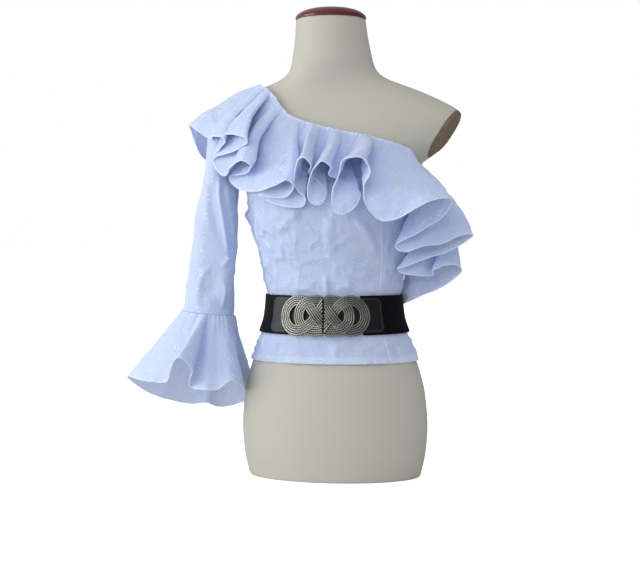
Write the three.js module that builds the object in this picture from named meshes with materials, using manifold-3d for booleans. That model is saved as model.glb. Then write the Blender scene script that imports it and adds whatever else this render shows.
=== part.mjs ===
// A one-shoulder flamenco blouse with its elastic belt, on a limbless dress form.
// Millimetres, +Z up, the front faces -Y and the wearer's left is +X.
// The origin is the middle of the flat base that the form stands on.
//
// Everything that lies on the form is placed by two numbers: a turn in degrees
// (0 at the front, 90 at the wearer's left, 180 at the back) and a height.

import * as THREE from 'three';
import Module from 'manifold-3d';

const wasm = await Module();
wasm.setup();

// ---- Driving sizes ----

const SEAM = 0.3;            // gap between two pieces that meet
const BODICE_GAP = 2;        // form to bodice
const BODICE_WALL = 1.5;
const SHOULDER = { from: 540, to: 600, ease: 2.4 };  // extra room under the bodice, by height
const HEM_HEIGHT = 196;      // bottom edge of the blouse, below the belt
const FRILL_WALL = 1.2;
const FRILL_GAP = 0.5;       // bodice to the gathered edge of the neck flounce
const FRILL_SWELL = 0.03;    // how much the flounce rounds out between its two edges
const FRILL_LIFT = { z: 652, out: 19, high: 13 };   // how the flounce stands up over the shoulder
const SLEEVE_WALL = 1.5;
const BELL_WALL = 1.2;
const BELT = { low: 243, high: 309, gap: 1.8, wall: 2.4, end: 30 };
const TAB = { gap: 0.5, wall: 1.8, margin: 3, corner: 12, end: 99, split: 0.5 };
const KNOT = { gap: 0.6, wall: 5, outer: 36, band: 18, bevel: 2.9, centres: [38.5, 14], split: 1 };
const NECK_TOP = 767;
const CAP_WALL = 3.5;
const CAP_DOME = 16;
const CAP_LIP = 1.02;        // the neck cap is this much wider than the neck
const PLATE_WALL = 5;
const HIP_TOP = 348;         // the form curves gently below this height

// How finely each piece is divided: round, or across, by down.
const GRID = {
  form: { round: 40, hipStep: 45, chestStep: 17 },
  cap: 32,
  panel: { rows: 18, center: 12, side: 7, back: 20 },
  frill: { front: 101, back: 35, rows: 6 },
  sleeve: { round: 22, rows: 11 },
  bell: { eachFold: 3, rows: 5 },
  belt: { round: 44, rows: 3 },
  tab: { along: 22, rows: 4 },
  ring: 28,
};

// ---- Small tools ----

const radians = THREE.MathUtils.degToRad;
const mix = THREE.MathUtils.lerp;
const range = count => [...Array(count).keys()];

// Smooth value of one column of a table at a given place in its first column,
// with no overshoot between the rows.
function read(table, key, column, at) {
  const rows = table.length;
  const step = i => table[i + 1][key] - table[i][key];
  const slope = i => (table[i + 1][column] - table[i][column]) / step(i);
  const tangent = i => {
    if (i === 0) return slope(0);
    if (i === rows - 1) return slope(rows - 2);
    const before = slope(i - 1);
    const after = slope(i);
    if (before * after <= 0) return 0;
    const a = 2 * step(i) + step(i - 1);
    const b = step(i) + 2 * step(i - 1);
    return (a + b) / (a / before + b / after);
  };
  const place = THREE.MathUtils.clamp(at, table[0][key], table[rows - 1][key]);
  let i = 0;
  while (i < rows - 2 && table[i + 1][key] < place) i += 1;
  const h = step(i);
  const t = (place - table[i][key]) / h;
  return table[i][column] * (1 + 2 * t) * (1 - t) ** 2
    + h * tangent(i) * t * (1 - t) ** 2
    + table[i + 1][column] * t * t * (3 - 2 * t)
    + h * tangent(i + 1) * t * t * (t - 1);
}

// A mesh geometry from points and triangles, turned so that its faces point out.
function solidFrom(points, triangles) {
  let volume = 0;
  for (const [a, b, c] of triangles) volume += points[a].dot(points[b].clone().cross(points[c]));
  const faces = volume < 0 ? triangles.map(([a, b, c]) => [a, c, b]) : triangles;
  const geometry = new THREE.BufferGeometry().setFromPoints(points);
  geometry.setIndex(faces.flat());
  geometry.computeVertexNormals();
  return geometry;
}

// A wall of cloth between two faces. near(u, v) and far(u, v) give its two faces
// for u and v from 0 to 1; a ring joins its last column to its first.
function wall(near, far, columns, rows, ring = false) {
  const across = ring ? columns : columns + 1;
  const points = [];
  for (const face of [near, far]) {
    for (const j of range(rows + 1)) {
      for (const i of range(across)) points.push(face(i / columns, j / rows));
    }
  }
  const at = (side, i, j) => side * across * (rows + 1) + j * across + (i % across);
  const triangles = [];
  const quad = (a, b, c, d) => triangles.push([a, b, c], [a, c, d]);
  for (const j of range(rows)) {
    for (const i of range(columns)) {
      quad(at(0, i, j), at(0, i, j + 1), at(0, i + 1, j + 1), at(0, i + 1, j));
      quad(at(1, i, j), at(1, i + 1, j), at(1, i + 1, j + 1), at(1, i, j + 1));
    }
    if (!ring) {
      quad(at(0, 0, j), at(1, 0, j), at(1, 0, j + 1), at(0, 0, j + 1));
      quad(at(0, columns, j), at(0, columns, j + 1), at(1, columns, j + 1), at(1, columns, j));
    }
  }
  for (const i of range(columns)) {
    quad(at(0, i, 0), at(0, i + 1, 0), at(1, i + 1, 0), at(1, i, 0));
    quad(at(0, i, rows), at(1, i, rows), at(1, i + 1, rows), at(0, i + 1, rows));
  }
  return solidFrom(points, triangles);
}

// A solid stack of rings, closed at both ends.
function stack(point, columns, rows) {
  const points = [];
  for (const j of range(rows + 1)) {
    for (const i of range(columns)) points.push(point(i / columns, j / rows));
  }
  const ends = [0, rows].map(j => {
    const row = points.slice(j * columns, (j + 1) * columns);
    return row.reduce((sum, p) => sum.add(p), new THREE.Vector3()).divideScalar(columns);
  });
  const low = points.push(ends[0]) - 1;
  const high = points.push(ends[1]) - 1;
  const triangles = [];
  for (const i of range(columns)) {
    const next = (i + 1) % columns;
    for (const j of range(rows)) {
      const [a, b] = [j * columns + i, j * columns + next];
      triangles.push([a, b, b + columns], [a, b + columns, a + columns]);
    }
    triangles.push([low, next, i], [high, rows * columns + i, rows * columns + next]);
  }
  return solidFrom(points, triangles);
}

// A solid turned from a profile that starts and ends on its axis.
function turned(profile, columns, place) {
  const inner = profile.slice(1, -1);
  const points = inner.flatMap(([radius, z]) => range(columns)
    .map(i => place(2 * Math.PI * i / columns, radius, z)));
  const low = points.push(place(0, 0, profile[0][1])) - 1;
  const high = points.push(place(0, 0, profile[profile.length - 1][1])) - 1;
  const last = (inner.length - 1) * columns;
  const triangles = [];
  for (const i of range(columns)) {
    const next = (i + 1) % columns;
    for (const j of range(inner.length - 1)) {
      const [a, b] = [j * columns + i, j * columns + next];
      triangles.push([a, b, b + columns], [a, b + columns, a + columns]);
    }
    triangles.push([low, next, i], [high, last + i, last + next]);
  }
  return solidFrom(points, triangles);
}

// A six-sided block from the four corners of its near face and the four of its far face.
function boxFrom(points) {
  const sides = [[0, 1, 2, 3], [7, 6, 5, 4], [0, 4, 5, 1], [1, 5, 6, 2], [2, 6, 7, 3], [3, 7, 4, 0]];
  return solidFrom(points, sides.flatMap(([a, b, c, d]) => [[a, b, c], [a, c, d]]));
}

function toManifold(geometry) {
  return new wasm.Manifold(new wasm.Mesh({
    numProp: 3,
    vertProperties: new Float32Array(geometry.getAttribute('position').array),
    triVerts: new Uint32Array(geometry.getIndex().array),
  }));
}

function fromManifold(solid) {
  const { vertProperties, triVerts } = solid.getMesh();
  const geometry = new THREE.BufferGeometry();
  geometry.setAttribute('position', new THREE.BufferAttribute(vertProperties, 3));
  geometry.setIndex(new THREE.BufferAttribute(triVerts, 1));
  geometry.computeVertexNormals();
  return geometry;
}

// ---- The dress form ----

// Half widths and depths of the form, by height; middle is how far back the ring sits.
const FORM = [
  { z: 0, side: 147, front: 98, back: 108, middle: 6 },
  { z: 42, side: 156, front: 102, back: 114, middle: 6 },
  { z: 85, side: 159, front: 103, back: 118, middle: 6 },
  { z: 138, side: 155, front: 100, back: 116, middle: 5 },
  { z: 178, side: 146, front: 96, back: 108, middle: 4 },
  { z: 212, side: 134, front: 92, back: 99, middle: 3 },
  { z: 243, side: 122, front: 88, back: 91, middle: 1 },
  { z: 272, side: 113, front: 85, back: 85, middle: 0 },
  { z: 306, side: 110, front: 85, back: 83, middle: 0 },
  { z: 348, side: 119, front: 89, back: 85, middle: 0 },
  { z: 382, side: 127, front: 94, back: 88, middle: 0 },
  { z: 416, side: 135, front: 98, back: 92, middle: 0 },
  { z: 450, side: 142, front: 99, back: 96, middle: 0 },
  { z: 484, side: 146, front: 96, back: 101, middle: 0 },
  { z: 515, side: 147, front: 90, back: 105, middle: 0 },
  { z: 528, side: 149.5, front: 87, back: 106, middle: 0 },
  { z: 540, side: 165, front: 84, back: 107, middle: 1 },
  { z: 570, side: 204, front: 77, back: 107, middle: 2 },
  { z: 600, side: 222, front: 70, back: 103, middle: 3 },
  { z: 617, side: 209, front: 65, back: 97, middle: 4 },
  { z: 631, side: 185, front: 60, back: 88, middle: 2 },
  { z: 646, side: 153, front: 56, back: 77, middle: -1 },
  { z: 660, side: 117, front: 55, back: 68, middle: -4 },
  { z: 670, side: 91.5, front: 56, back: 64, middle: -7 },
  { z: 680, side: 77.5, front: 57, back: 62, middle: -10 },
  { z: 692, side: 70.5, front: 58, back: 60, middle: -14 },
  { z: 712, side: 66, front: 57, back: 58, middle: -19 },
  { z: 740, side: 61, front: 56, back: 56, middle: -25 },
  { z: NECK_TOP, side: 58, front: 55, back: 55, middle: -31 },
];
const BUST = { x: 70, z: 468, out: 36, wide: 50, high: 52 };
// The flat end of each shoulder: a plane through its low and high ends, turned a little forward.
const ARM = {
  lowX: 155, lowZ: 527, highX: 209, highZ: 617, forward: 0.12, wide: 320, high: 200, beyond: 160,
};

function ringAt(z, lift = 0) {
  const value = column => read(FORM, 'z', column, z);
  const more = lift * Math.exp(-(((z - FRILL_LIFT.z) / FRILL_LIFT.high) ** 2));
  return {
    side: value('side') + more,
    front: value('front') + more / 2,
    back: value('back') + more / 2,
    middle: value('middle'),
  };
}

function bust(x, z) {
  const hill = centre => Math.exp(-(((x - centre) / BUST.wide) ** 2) / 2);
  return BUST.out * (hill(BUST.x) + hill(-BUST.x)) * Math.exp(-(((z - BUST.z) / BUST.high) ** 2) / 2);
}

// A point on the ring at a height, where size 1 is the form's own surface.
function ringPoint(turn, z, size = 1, lift = 0) {
  const ring = ringAt(z, lift);
  const [s, c] = [Math.sin(radians(turn)), Math.cos(radians(turn))];
  const x = ring.side * size * s;
  const depth = c > 0 ? ring.front + bust(x, z) : ring.back;
  return new THREE.Vector3(x, ring.middle - depth * size * c, z);
}

// The turn, height and size of the ring through a point.
function ringOf(point, lift = 0) {
  const ring = ringAt(point.z, lift);
  const ahead = ring.middle - point.y;
  const depth = ahead > 0 ? ring.front + bust(point.x, point.z) : ring.back;
  const [s, c] = [point.x / ring.side, ahead / depth];
  return { turn: THREE.MathUtils.radToDeg(Math.atan2(s, c)), z: point.z, size: Math.hypot(s, c) };
}

// The point that lies a given distance off the form.
function skin(turn, z, out) {
  const nudge = 0.4;
  const round = ringPoint(turn + nudge, z).sub(ringPoint(turn - nudge, z));
  const rise = ringPoint(turn, z + nudge).sub(ringPoint(turn, z - nudge));
  return ringPoint(turn, z).addScaledVector(round.cross(rise).normalize(), out);
}

// A slab along the shoulder's flat end, from one distance outside it to another.
function armSlab(side, from, to) {
  const along = new THREE.Vector3(ARM.highX - ARM.lowX, 0, ARM.highZ - ARM.lowZ).normalize();
  const back = new THREE.Vector3(ARM.forward, 1, 0).normalize();
  const out = back.clone().cross(along).normalize();
  const low = new THREE.Vector3(ARM.lowX, 0, ARM.lowZ);
  const points = [];
  const half = ARM.wide / 2;
  for (const far of [from, to]) {
    for (const [a, b] of [[0, -half], [0, half], [ARM.high, half], [ARM.high, -half]]) {
      const p = low.clone().addScaledVector(along, a).addScaledVector(back, b).addScaledVector(out, far);
      points.push(new THREE.Vector3(p.x * side, p.y, p.z));
    }
  }
  return boxFrom(points);
}

// Ring heights of the solid form, closer together where it curves most.
function formHeights() {
  const heights = [0];
  for (const i of range(FORM.length - 1)) {
    const [low, high] = [FORM[i].z, FORM[i + 1].z];
    const count = Math.ceil((high - low) / (low < HIP_TOP ? GRID.form.hipStep : GRID.form.chestStep));
    for (const k of range(count)) heights.push(mix(low, high, (k + 1) / count));
  }
  return heights;
}

function formSolids() {
  const heights = formHeights();
  const rows = heights.length - 1;
  const ring = (u, v) => ringPoint(u * 360, heights[Math.round(v * rows)]);
  const whole = toManifold(stack(ring, GRID.form.round, rows));
  const cutAway = side => toManifold(armSlab(side, 0, ARM.beyond));
  const plate = side => whole.intersect(toManifold(armSlab(side, SEAM, SEAM + PLATE_WALL)));
  return {
    torso: fromManifold(whole.subtract(cutAway(1)).subtract(cutAway(-1))),
    left: fromManifold(plate(1)),
    right: fromManifold(plate(-1)),
  };
}

// The cap's dome, from its rim to its middle, in parts of its radius and of its height.
const CAP_PROFILE = [
  { radius: 1, rise: 0 }, { radius: 0.93, rise: 0.3 }, { radius: 0.7, rise: 0.7 },
  { radius: 0.4, rise: 0.93 }, { radius: 0, rise: 1 },
];

// The lacquered wooden cap: a thin rim and a low dome.
function neckCap() {
  const low = NECK_TOP + SEAM;
  const rim = low + CAP_WALL;
  const dome = CAP_PROFILE.map(({ radius, rise }) => [CAP_LIP * radius, rim + CAP_DOME * rise]);
  const top = ringAt(NECK_TOP);
  return turned([[0, low], [CAP_LIP, low], ...dome], GRID.cap, (turn, radius, z) => new THREE.Vector3(
    top.side * radius * Math.sin(turn),
    top.middle - top.front * radius * Math.cos(turn),
    z,
  ));
}

// ---- The bodice ----

// Height of the neckline, which runs from the right shoulder down under the left arm.
const NECKLINE = [
  { turn: -90, z: 658 }, { turn: -70, z: 656.5 }, { turn: -54, z: 652.5 }, { turn: -45, z: 649.5 },
  { turn: -40, z: 646.5 }, { turn: -35, z: 642 }, { turn: -30, z: 636 }, { turn: -26, z: 629 },
  { turn: -22, z: 619.5 }, { turn: -15, z: 602 }, { turn: 0, z: 583 }, { turn: 17, z: 570 },
  { turn: 35, z: 558 }, { turn: 49, z: 549 }, { turn: 59, z: 538 }, { turn: 78, z: 522 },
  { turn: 90, z: 505 }, { turn: 105, z: 478 }, { turn: 120, z: 466 }, { turn: 140, z: 480 },
  { turn: 160, z: 511 }, { turn: 180, z: 547 }, { turn: 205, z: 592 }, { turn: 230, z: 628 },
  { turn: 250, z: 649 }, { turn: 270, z: 658 },
];
// The princess seams run over the bust, at these turns on the wearer's left and right.
const PRINCESS = [
  { z: HEM_HEIGHT, left: 47, right: -60 }, { z: 300, left: 48, right: -62 },
  { z: 370, left: 45, right: -59 }, { z: 432, left: 41, right: -58 },
  { z: 500, left: 37, right: -50 }, { z: 600, left: 34, right: -38 },
];
const NECK_DROP = 1.5;       // the bodice ends this far below the neckline
const PANEL_CROWD = 1.3;     // its rows lie closer together towards the top
const ARMHOLE_EASE = 2;      // and this far inside the shoulder's flat end
const PANEL_PASSES = 6;      // an edge's turn and height settle each other in this many rounds

const neckline = turn => read(NECKLINE, 'turn', 'z', turn);
const princess = side => z => read(PRINCESS, 'z', side, z);

// How far the bodice's inner face lies off the form.
const bodiceGap = z => BODICE_GAP
  + SHOULDER.ease * THREE.MathUtils.smoothstep(z, SHOULDER.from, SHOULDER.to);

// A bodice panel between two edges, each a turn that depends on the height.
function panel(from, to, columns) {
  const gap = SEAM / 4;
  const place = out => (u, v) => {
    let z = HEM_HEIGHT;
    let turn = 0;
    for (let pass = 0; pass < PANEL_PASSES; pass += 1) {
      turn = mix(from(z) + gap, to(z) - gap, u);
      z = mix(HEM_HEIGHT, neckline(turn) - NECK_DROP, 1 - (1 - v) ** PANEL_CROWD);
    }
    return skin(turn, z, bodiceGap(z) + out);
  };
  return wall(place(0), place(BODICE_WALL), columns, GRID.panel.rows);
}

// A panel with the right armhole cut out of it.
function cutArmhole(geometry) {
  return fromManifold(toManifold(geometry).subtract(toManifold(armSlab(-1, -ARMHOLE_EASE, ARM.beyond))));
}

// ---- Hem curves, shared by the neck flounce and the sleeve bell ----

// A closed curve through the rows of a hem table. The place counts rows.
function hemCurve(table) {
  const points = table.map(({ x, y, z }) => new THREE.Vector3(x, y, z));
  const curve = new THREE.CatmullRomCurve3(points, true, 'centripetal');
  const rows = [...table.keys(), table.length].map(row => ({
    row,
    turn: row < table.length ? table[row].turn : table[0].turn + 360,
  }));
  return {
    point: place => curve.getPoint(((place / table.length) % 1 + 1) % 1),
    turn: place => read(rows, 'row', 'turn', place),
  };
}

// A wall that follows a middle surface.
function thicken(middle, thickness, columns, rows, ring = false) {
  const nudge = 1e-3;
  const within = w => THREE.MathUtils.clamp(w, 0, 1);
  const face = side => (u, v) => {
    const round = middle(ring ? u + nudge : within(u + nudge), v)
      .sub(middle(ring ? u - nudge : within(u - nudge), v));
    const down = middle(u, within(v + nudge)).sub(middle(u, within(v - nudge)));
    return middle(u, v).addScaledVector(round.cross(down).normalize(), side * thickness / 2);
  };
  return wall(face(-1), face(1), columns, rows, ring);
}

// ---- The neck flounce ----

// A row for each fold edge of its hem, in order from the right shoulder: the turn where it
// leaves the neckline, and the point that it falls to.
const FRILL = [
  { edge: 'shoulder', turn: -90, x: -256, y: 6, z: 599 },
  { edge: 'A out', turn: -76, x: -240, y: -28, z: 589 },
  { edge: 'A in', turn: -66, x: -203, y: -60, z: 570 },
  { edge: 'B left', turn: -58, x: -187, y: -92, z: 570 },
  { edge: 'B out', turn: -50, x: -123, y: -132, z: 572 },
  { edge: 'B back', turn: -45, x: -141, y: -106, z: 554 },
  { edge: 'B in', turn: -39.5, x: -191, y: -72, z: 530 },
  { edge: 'C in', turn: -34, x: -171, y: -84, z: 505 },
  { edge: 'C left', turn: -29, x: -154, y: -116, z: 518 },
  { edge: 'C out', turn: -24, x: -126, y: -142, z: 529 },
  { edge: 'C right', turn: -21, x: -111, y: -140, z: 516 },
  { edge: 'D in', turn: -19, x: -118, y: -132, z: 481 },
  { edge: 'D mid', turn: -16, x: -84, y: -152, z: 480 },
  { edge: 'D out', turn: -13, x: -46, y: -170, z: 495 },
  { edge: 'D right', turn: -11.5, x: -41, y: -162, z: 481 },
  { edge: 'D back', turn: -10, x: -76, y: -144, z: 466 },
  { edge: 'E in', turn: -8.5, x: -47, y: -134, z: 453 },
  { edge: 'E left', turn: -6.5, x: -30, y: -160, z: 486 },
  { edge: 'E out', turn: -4.5, x: -19, y: -184, z: 530 },
  { edge: 'E right', turn: -2, x: -5, y: -178, z: 516 },
  { edge: 'E foot', turn: 0, x: -16, y: -150, z: 470 },
  { edge: 'F in', turn: 1, x: -1, y: -142, z: 456 },
  { edge: 'F left', turn: 2, x: 8, y: -156, z: 486 },
  { edge: 'F out', turn: 4, x: 17, y: -184, z: 522 },
  { edge: 'F right', turn: 6, x: 27, y: -178, z: 513 },
  { edge: 'G in', turn: 9, x: 25, y: -142, z: 441 },
  { edge: 'G left', turn: 12, x: 36, y: -168, z: 498 },
  { edge: 'G out', turn: 16, x: 62, y: -192, z: 529 },
  { edge: 'G right', turn: 20, x: 89, y: -182, z: 509 },
  { edge: 'G foot', turn: 23, x: 75, y: -154, z: 476 },
  { edge: 'H in', turn: 26, x: 86, y: -142, z: 438 },
  { edge: 'H mid', turn: 34, x: 128, y: -156, z: 435 },
  { edge: 'H out', turn: 46, x: 171, y: -158, z: 455 },
  { edge: 'H edge', turn: 58, x: 206, y: -132, z: 466 },
  { edge: 'H corner', turn: 64, x: 211, y: -112, z: 459 },
  { edge: 'H back', turn: 68, x: 180, y: -99, z: 426 },
  { edge: 'tier 2 in', turn: 73, x: 113, y: -84, z: 385 },
  { edge: 'tier 2 mid', turn: 77, x: 158, y: -80, z: 386 },
  { edge: 'tier 2 out', turn: 82, x: 218, y: -58, z: 406 },
  { edge: 'tier 2 corner', turn: 86, x: 238, y: -32, z: 407 },
  { edge: 'tier 2 back', turn: 90, x: 193, y: -42, z: 374 },
  { edge: 'tier 3 in', turn: 95, x: 123, y: -58, z: 352 },
  { edge: 'tier 3 mid', turn: 99, x: 156, y: -38, z: 342 },
  { edge: 'tier 3 corner', turn: 105, x: 217, y: -5, z: 349 },
  { edge: 'tier 3 back', turn: 110, x: 165, y: 8, z: 312 },
  { edge: 'side in', turn: 115, x: 115, y: 36, z: 291 },
  { edge: 'back 1 out', turn: 120, x: 186, y: 84, z: 330 },
  { edge: 'back 1 in', turn: 129, x: 112, y: 100, z: 336 },
  { edge: 'back 2 out', turn: 139, x: 118, y: 160, z: 366 },
  { edge: 'back 2 in', turn: 150, x: 52, y: 124, z: 376 },
  { edge: 'back 3 out', turn: 160, x: 36, y: 176, z: 410 },
  { edge: 'back 3 in', turn: 170, x: -18, y: 134, z: 418 },
  { edge: 'back 4 out', turn: 181, x: -50, y: 178, z: 456 },
  { edge: 'back 4 in', turn: 192, x: -82, y: 134, z: 462 },
  { edge: 'back 5 out', turn: 204, x: -128, y: 166, z: 500 },
  { edge: 'back 5 in', turn: 216, x: -142, y: 118, z: 502 },
  { edge: 'back 6 out', turn: 229, x: -196, y: 128, z: 540 },
  { edge: 'back 6 in', turn: 242, x: -236, y: 92, z: 547 },
  { edge: 'back 7 out', turn: 256, x: -258, y: 55, z: 580 },
];
// Where the flounce follows the body, 1, and where it spans straight from edge to edge, 0.
const FRILL_HUG = [
  { turn: -90, hug: 0.6 }, { turn: -72, hug: 0.55 }, { turn: -60, hug: 0.25 }, { turn: -30, hug: 0.25 },
  { turn: -12, hug: 1 }, { turn: 40, hug: 1 }, { turn: 56, hug: 0.4 }, { turn: 72, hug: 0.5 },
  { turn: 92, hug: 1 }, { turn: 215, hug: 1 }, { turn: 232, hug: 0.75 }, { turn: 252, hug: 0.65 },
  { turn: 270, hug: 0.6 },
];
const FRILL_SPREAD = 1.3;    // folds lean sideways late
const FRILL_LIFT_OFF = 0.85; // and stand off the body early
const FRILL_JOIN = 44.5;     // the side join, counted in rows of the table
const FRILL_SEAM = 0.02;     // and the space that each piece leaves there, in rows

function frill(from, to, columns) {
  const hem = hemCurve(FRILL);
  const seat = BODICE_WALL + FRILL_GAP + FRILL_WALL / 2;
  const gap = FRILL_SEAM;
  const middle = (u, v) => {
    const place = mix(from + gap, to - gap, u);
    const turn = hem.turn(place);
    const edge = neckline(turn);
    const top = ringOf(skin(turn, edge, bodiceGap(edge) + seat), FRILL_LIFT.out);
    const end = ringOf(hem.point(place), FRILL_LIFT.out);
    const near = value => value + 360 * Math.round((turn - value) / 360);
    const hugging = ringPoint(
      mix(near(top.turn), near(end.turn), v ** FRILL_SPREAD),
      mix(top.z, end.z, v),
      mix(top.size, end.size, v ** FRILL_LIFT_OFF) + FRILL_SWELL * Math.sin(Math.PI * v),
      FRILL_LIFT.out,
    );
    const across = ringPoint(top.turn, top.z, top.size, FRILL_LIFT.out).lerp(hem.point(place), v);
    return across.lerp(hugging, read(FRILL_HUG, 'turn', 'hug', turn));
  };
  return thicken(middle, FRILL_WALL, columns, GRID.frill.rows);
}

// ---- The sleeve and its bell ----

// Rings of the sleeve, from the armhole to the seam of the bell: tilt is how far the outer
// side is raised, lean how far the back is turned outwards, and the rest are half sizes.
const SLEEVE = [
  { at: 0, x: -187.5, y: 2, z: 574, tilt: 59, lean: 0.12, across: 58, fore: 48, aft: 52 },
  { at: 0.1, x: -191, y: 2, z: 541, tilt: 38, lean: 0.06, across: 38, fore: 52, aft: 53 },
  { at: 0.2, x: -194, y: 1, z: 510, tilt: 14, lean: 0, across: 30, fore: 56, aft: 57 },
  { at: 0.3, x: -198, y: -2, z: 481, tilt: 4, lean: 0, across: 31, fore: 58, aft: 58 },
  { at: 0.45, x: -202, y: -4, z: 440, tilt: 2, lean: 0, across: 35, fore: 57, aft: 57 },
  { at: 0.65, x: -207, y: -7, z: 384, tilt: 2, lean: 0, across: 38, fore: 54, aft: 54 },
  { at: 0.83, x: -213, y: -10, z: 331, tilt: 3, lean: 0, across: 40, fore: 50, aft: 50 },
  { at: 0.94, x: -215, y: -12, z: 296, tilt: 5, lean: 0, across: 43, fore: 46, aft: 46 },
  { at: 1, x: -217, y: -14, z: 276, tilt: 6, lean: 0, across: 44.5, fore: 45, aft: 45 },
];

function sleevePoint(turn, at, inset = 0) {
  const value = column => read(SLEEVE, 'at', column, at);
  const tilt = radians(value('tilt'));
  const [s, c] = [Math.sin(radians(turn)), Math.cos(radians(turn))];
  const across = (value('across') - inset) * s;
  const deep = (c > 0 ? value('fore') : value('aft')) - inset;
  return new THREE.Vector3(
    value('x') + across * Math.cos(tilt) + value('lean') * deep * c,
    value('y') - deep * c,
    value('z') - across * Math.sin(tilt),
  );
}

const sleeve = () => wall(
  (u, v) => sleevePoint(u * 360, v, SLEEVE_WALL),
  (u, v) => sleevePoint(u * 360, v),
  GRID.sleeve.round, GRID.sleeve.rows, true,
);

// A row for each fold edge of the bell's hem, from the outer side round the front.
const BELL = [
  { edge: 'outer', turn: -90, x: -364, y: -12, z: 161 },
  { edge: 'front left', turn: -64, x: -306, y: -72, z: 160 },
  { edge: 'fold in', turn: -46, x: -270, y: -88, z: 162 },
  { edge: 'fold left', turn: -35, x: -256, y: -116, z: 183 },
  { edge: 'fold out', turn: -24, x: -234, y: -138, z: 207 },
  { edge: 'fold right', turn: -13, x: -217, y: -124, z: 188 },
  { edge: 'fold back', turn: -3, x: -228, y: -88, z: 153 },
  { edge: 'front', turn: 10, x: -200, y: -98, z: 151 },
  { edge: 'dip', turn: 26, x: -182, y: -88, z: 150 },
  { edge: 'front right', turn: 46, x: -159, y: -88, z: 166 },
  { edge: 'inner front', turn: 68, x: -143, y: -56, z: 148 },
  { edge: 'inner', turn: 92, x: -168, y: 6, z: 142 },
  { edge: 'inner back', turn: 118, x: -148, y: 66, z: 128 },
  { edge: 'back right', turn: 146, x: -192, y: 94, z: 106 },
  { edge: 'back', turn: 168, x: -228, y: 104, z: 98 },
  { edge: 'notch', turn: 188, x: -246, y: 78, z: 108 },
  { edge: 'back left', turn: 210, x: -280, y: 100, z: 103 },
  { edge: 'outer back', turn: 240, x: -338, y: 52, z: 124 },
];

function bell() {
  const hem = hemCurve(BELL);
  const middle = (u, v) => {
    const place = u * BELL.length;
    const top = sleevePoint(hem.turn(place), 1, BELL_WALL / 2);
    top.z -= SEAM + BELL_WALL / 2;
    return top.lerp(hem.point(place), v);
  };
  return thicken(middle, BELL_WALL, BELL.length * GRID.bell.eachFold, GRID.bell.rows, true);
}

// ---- The belt and its buckle ----

const BELT_SEAT = BODICE_GAP + BODICE_WALL + BELT.gap;
const TAB_SEAT = BELT_SEAT + BELT.wall + TAB.gap;
const KNOT_SEAT = TAB_SEAT + TAB.wall + KNOT.gap;
const BELT_MIDDLE = (BELT.low + BELT.high) / 2;
// The space in front of the waist that one half of the buckle is kept to.
const HALF = { front: -200, low: 150, high: 400, reach: 200 };

// The elastic runs round the back, from one tab to the other.
function beltBand() {
  const place = out => (u, v) => skin(
    mix(BELT.end, 360 - BELT.end, u), mix(BELT.low, BELT.high, v), BELT_SEAT + out,
  );
  return wall(place(0), place(BELT.wall), GRID.belt.round, GRID.belt.rows);
}

// Distance round the front at the middle of the belt, as a turn.
function turnAtArc(arc) {
  const step = 0.5;
  let [turn, length] = [0, 0];
  let here = skin(0, BELT_MIDDLE, TAB_SEAT);
  while (length < Math.abs(arc)) {
    const next = skin(turn + step, BELT_MIDDLE, TAB_SEAT);
    const run = next.distanceTo(here);
    if (length + run > Math.abs(arc)) return Math.sign(arc) * (turn + step * (Math.abs(arc) - length) / run);
    length += run;
    turn += step;
    here = next;
  }
  return 0;
}

const onBelt = (arc, rise, out) => skin(turnAtArc(arc), BELT_MIDDLE + rise, out);

// A leather end tab, square at the split and rounded at its outer end.
function beltTab(side) {
  const half = (BELT.high - BELT.low) / 2 - TAB.margin;
  const place = out => (u, v) => {
    const arc = mix(TAB.split, TAB.end, u);
    const into = Math.max(0, arc - (TAB.end - TAB.corner));
    const rise = half - TAB.corner + Math.sqrt(Math.max(0, TAB.corner ** 2 - into ** 2));
    return onBelt(side * arc, mix(-rise, rise, v), TAB_SEAT + out);
  };
  return wall(place(0), place(TAB.wall), GRID.tab.along, GRID.tab.rows);
}

// A flat ring of the knot, lying on the belt round a centre.
function knotRing(centre) {
  const columns = GRID.ring;
  const [outer, inner] = [KNOT.outer, KNOT.outer - KNOT.band];
  const [low, shoulder, high] = [KNOT_SEAT, KNOT_SEAT + KNOT.wall / 2, KNOT_SEAT + KNOT.wall];
  const profile = [
    [outer, low], [outer, shoulder], [outer - KNOT.bevel, high],
    [inner + KNOT.bevel, high], [inner, shoulder], [inner, low],
  ];
  const points = range(columns).flatMap(i => profile.map(([radius, out]) => {
    const angle = 2 * Math.PI * i / columns;
    return onBelt(centre + radius * Math.cos(angle), radius * Math.sin(angle), out);
  }));
  const triangles = [];
  for (const i of range(columns)) {
    for (const k of range(profile.length)) {
      const [a, b] = [i * profile.length + k, i * profile.length + (k + 1) % profile.length];
      const [c, d] = [a, b].map(p => (p + profile.length) % (columns * profile.length));
      triangles.push([a, b, d], [a, d, c]);
    }
  }
  return toManifold(solidFrom(points, triangles));
}

// One half of the buckle: two overlapping rings, cut straight at the split.
function buckleHalf(side) {
  const { front, low, high, reach } = HALF;
  const corners = [KNOT.split, reach].flatMap(x => [[front, low], [0, low], [0, high], [front, high]]
    .map(([y, z]) => new THREE.Vector3(x * side, y, z)));
  const rings = KNOT.centres.map(centre => knotRing(side * centre));
  return fromManifold(rings[0].add(rings[1]).intersect(toManifold(boxFrom(corners))));
}

// ---- Assembly ----

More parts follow.
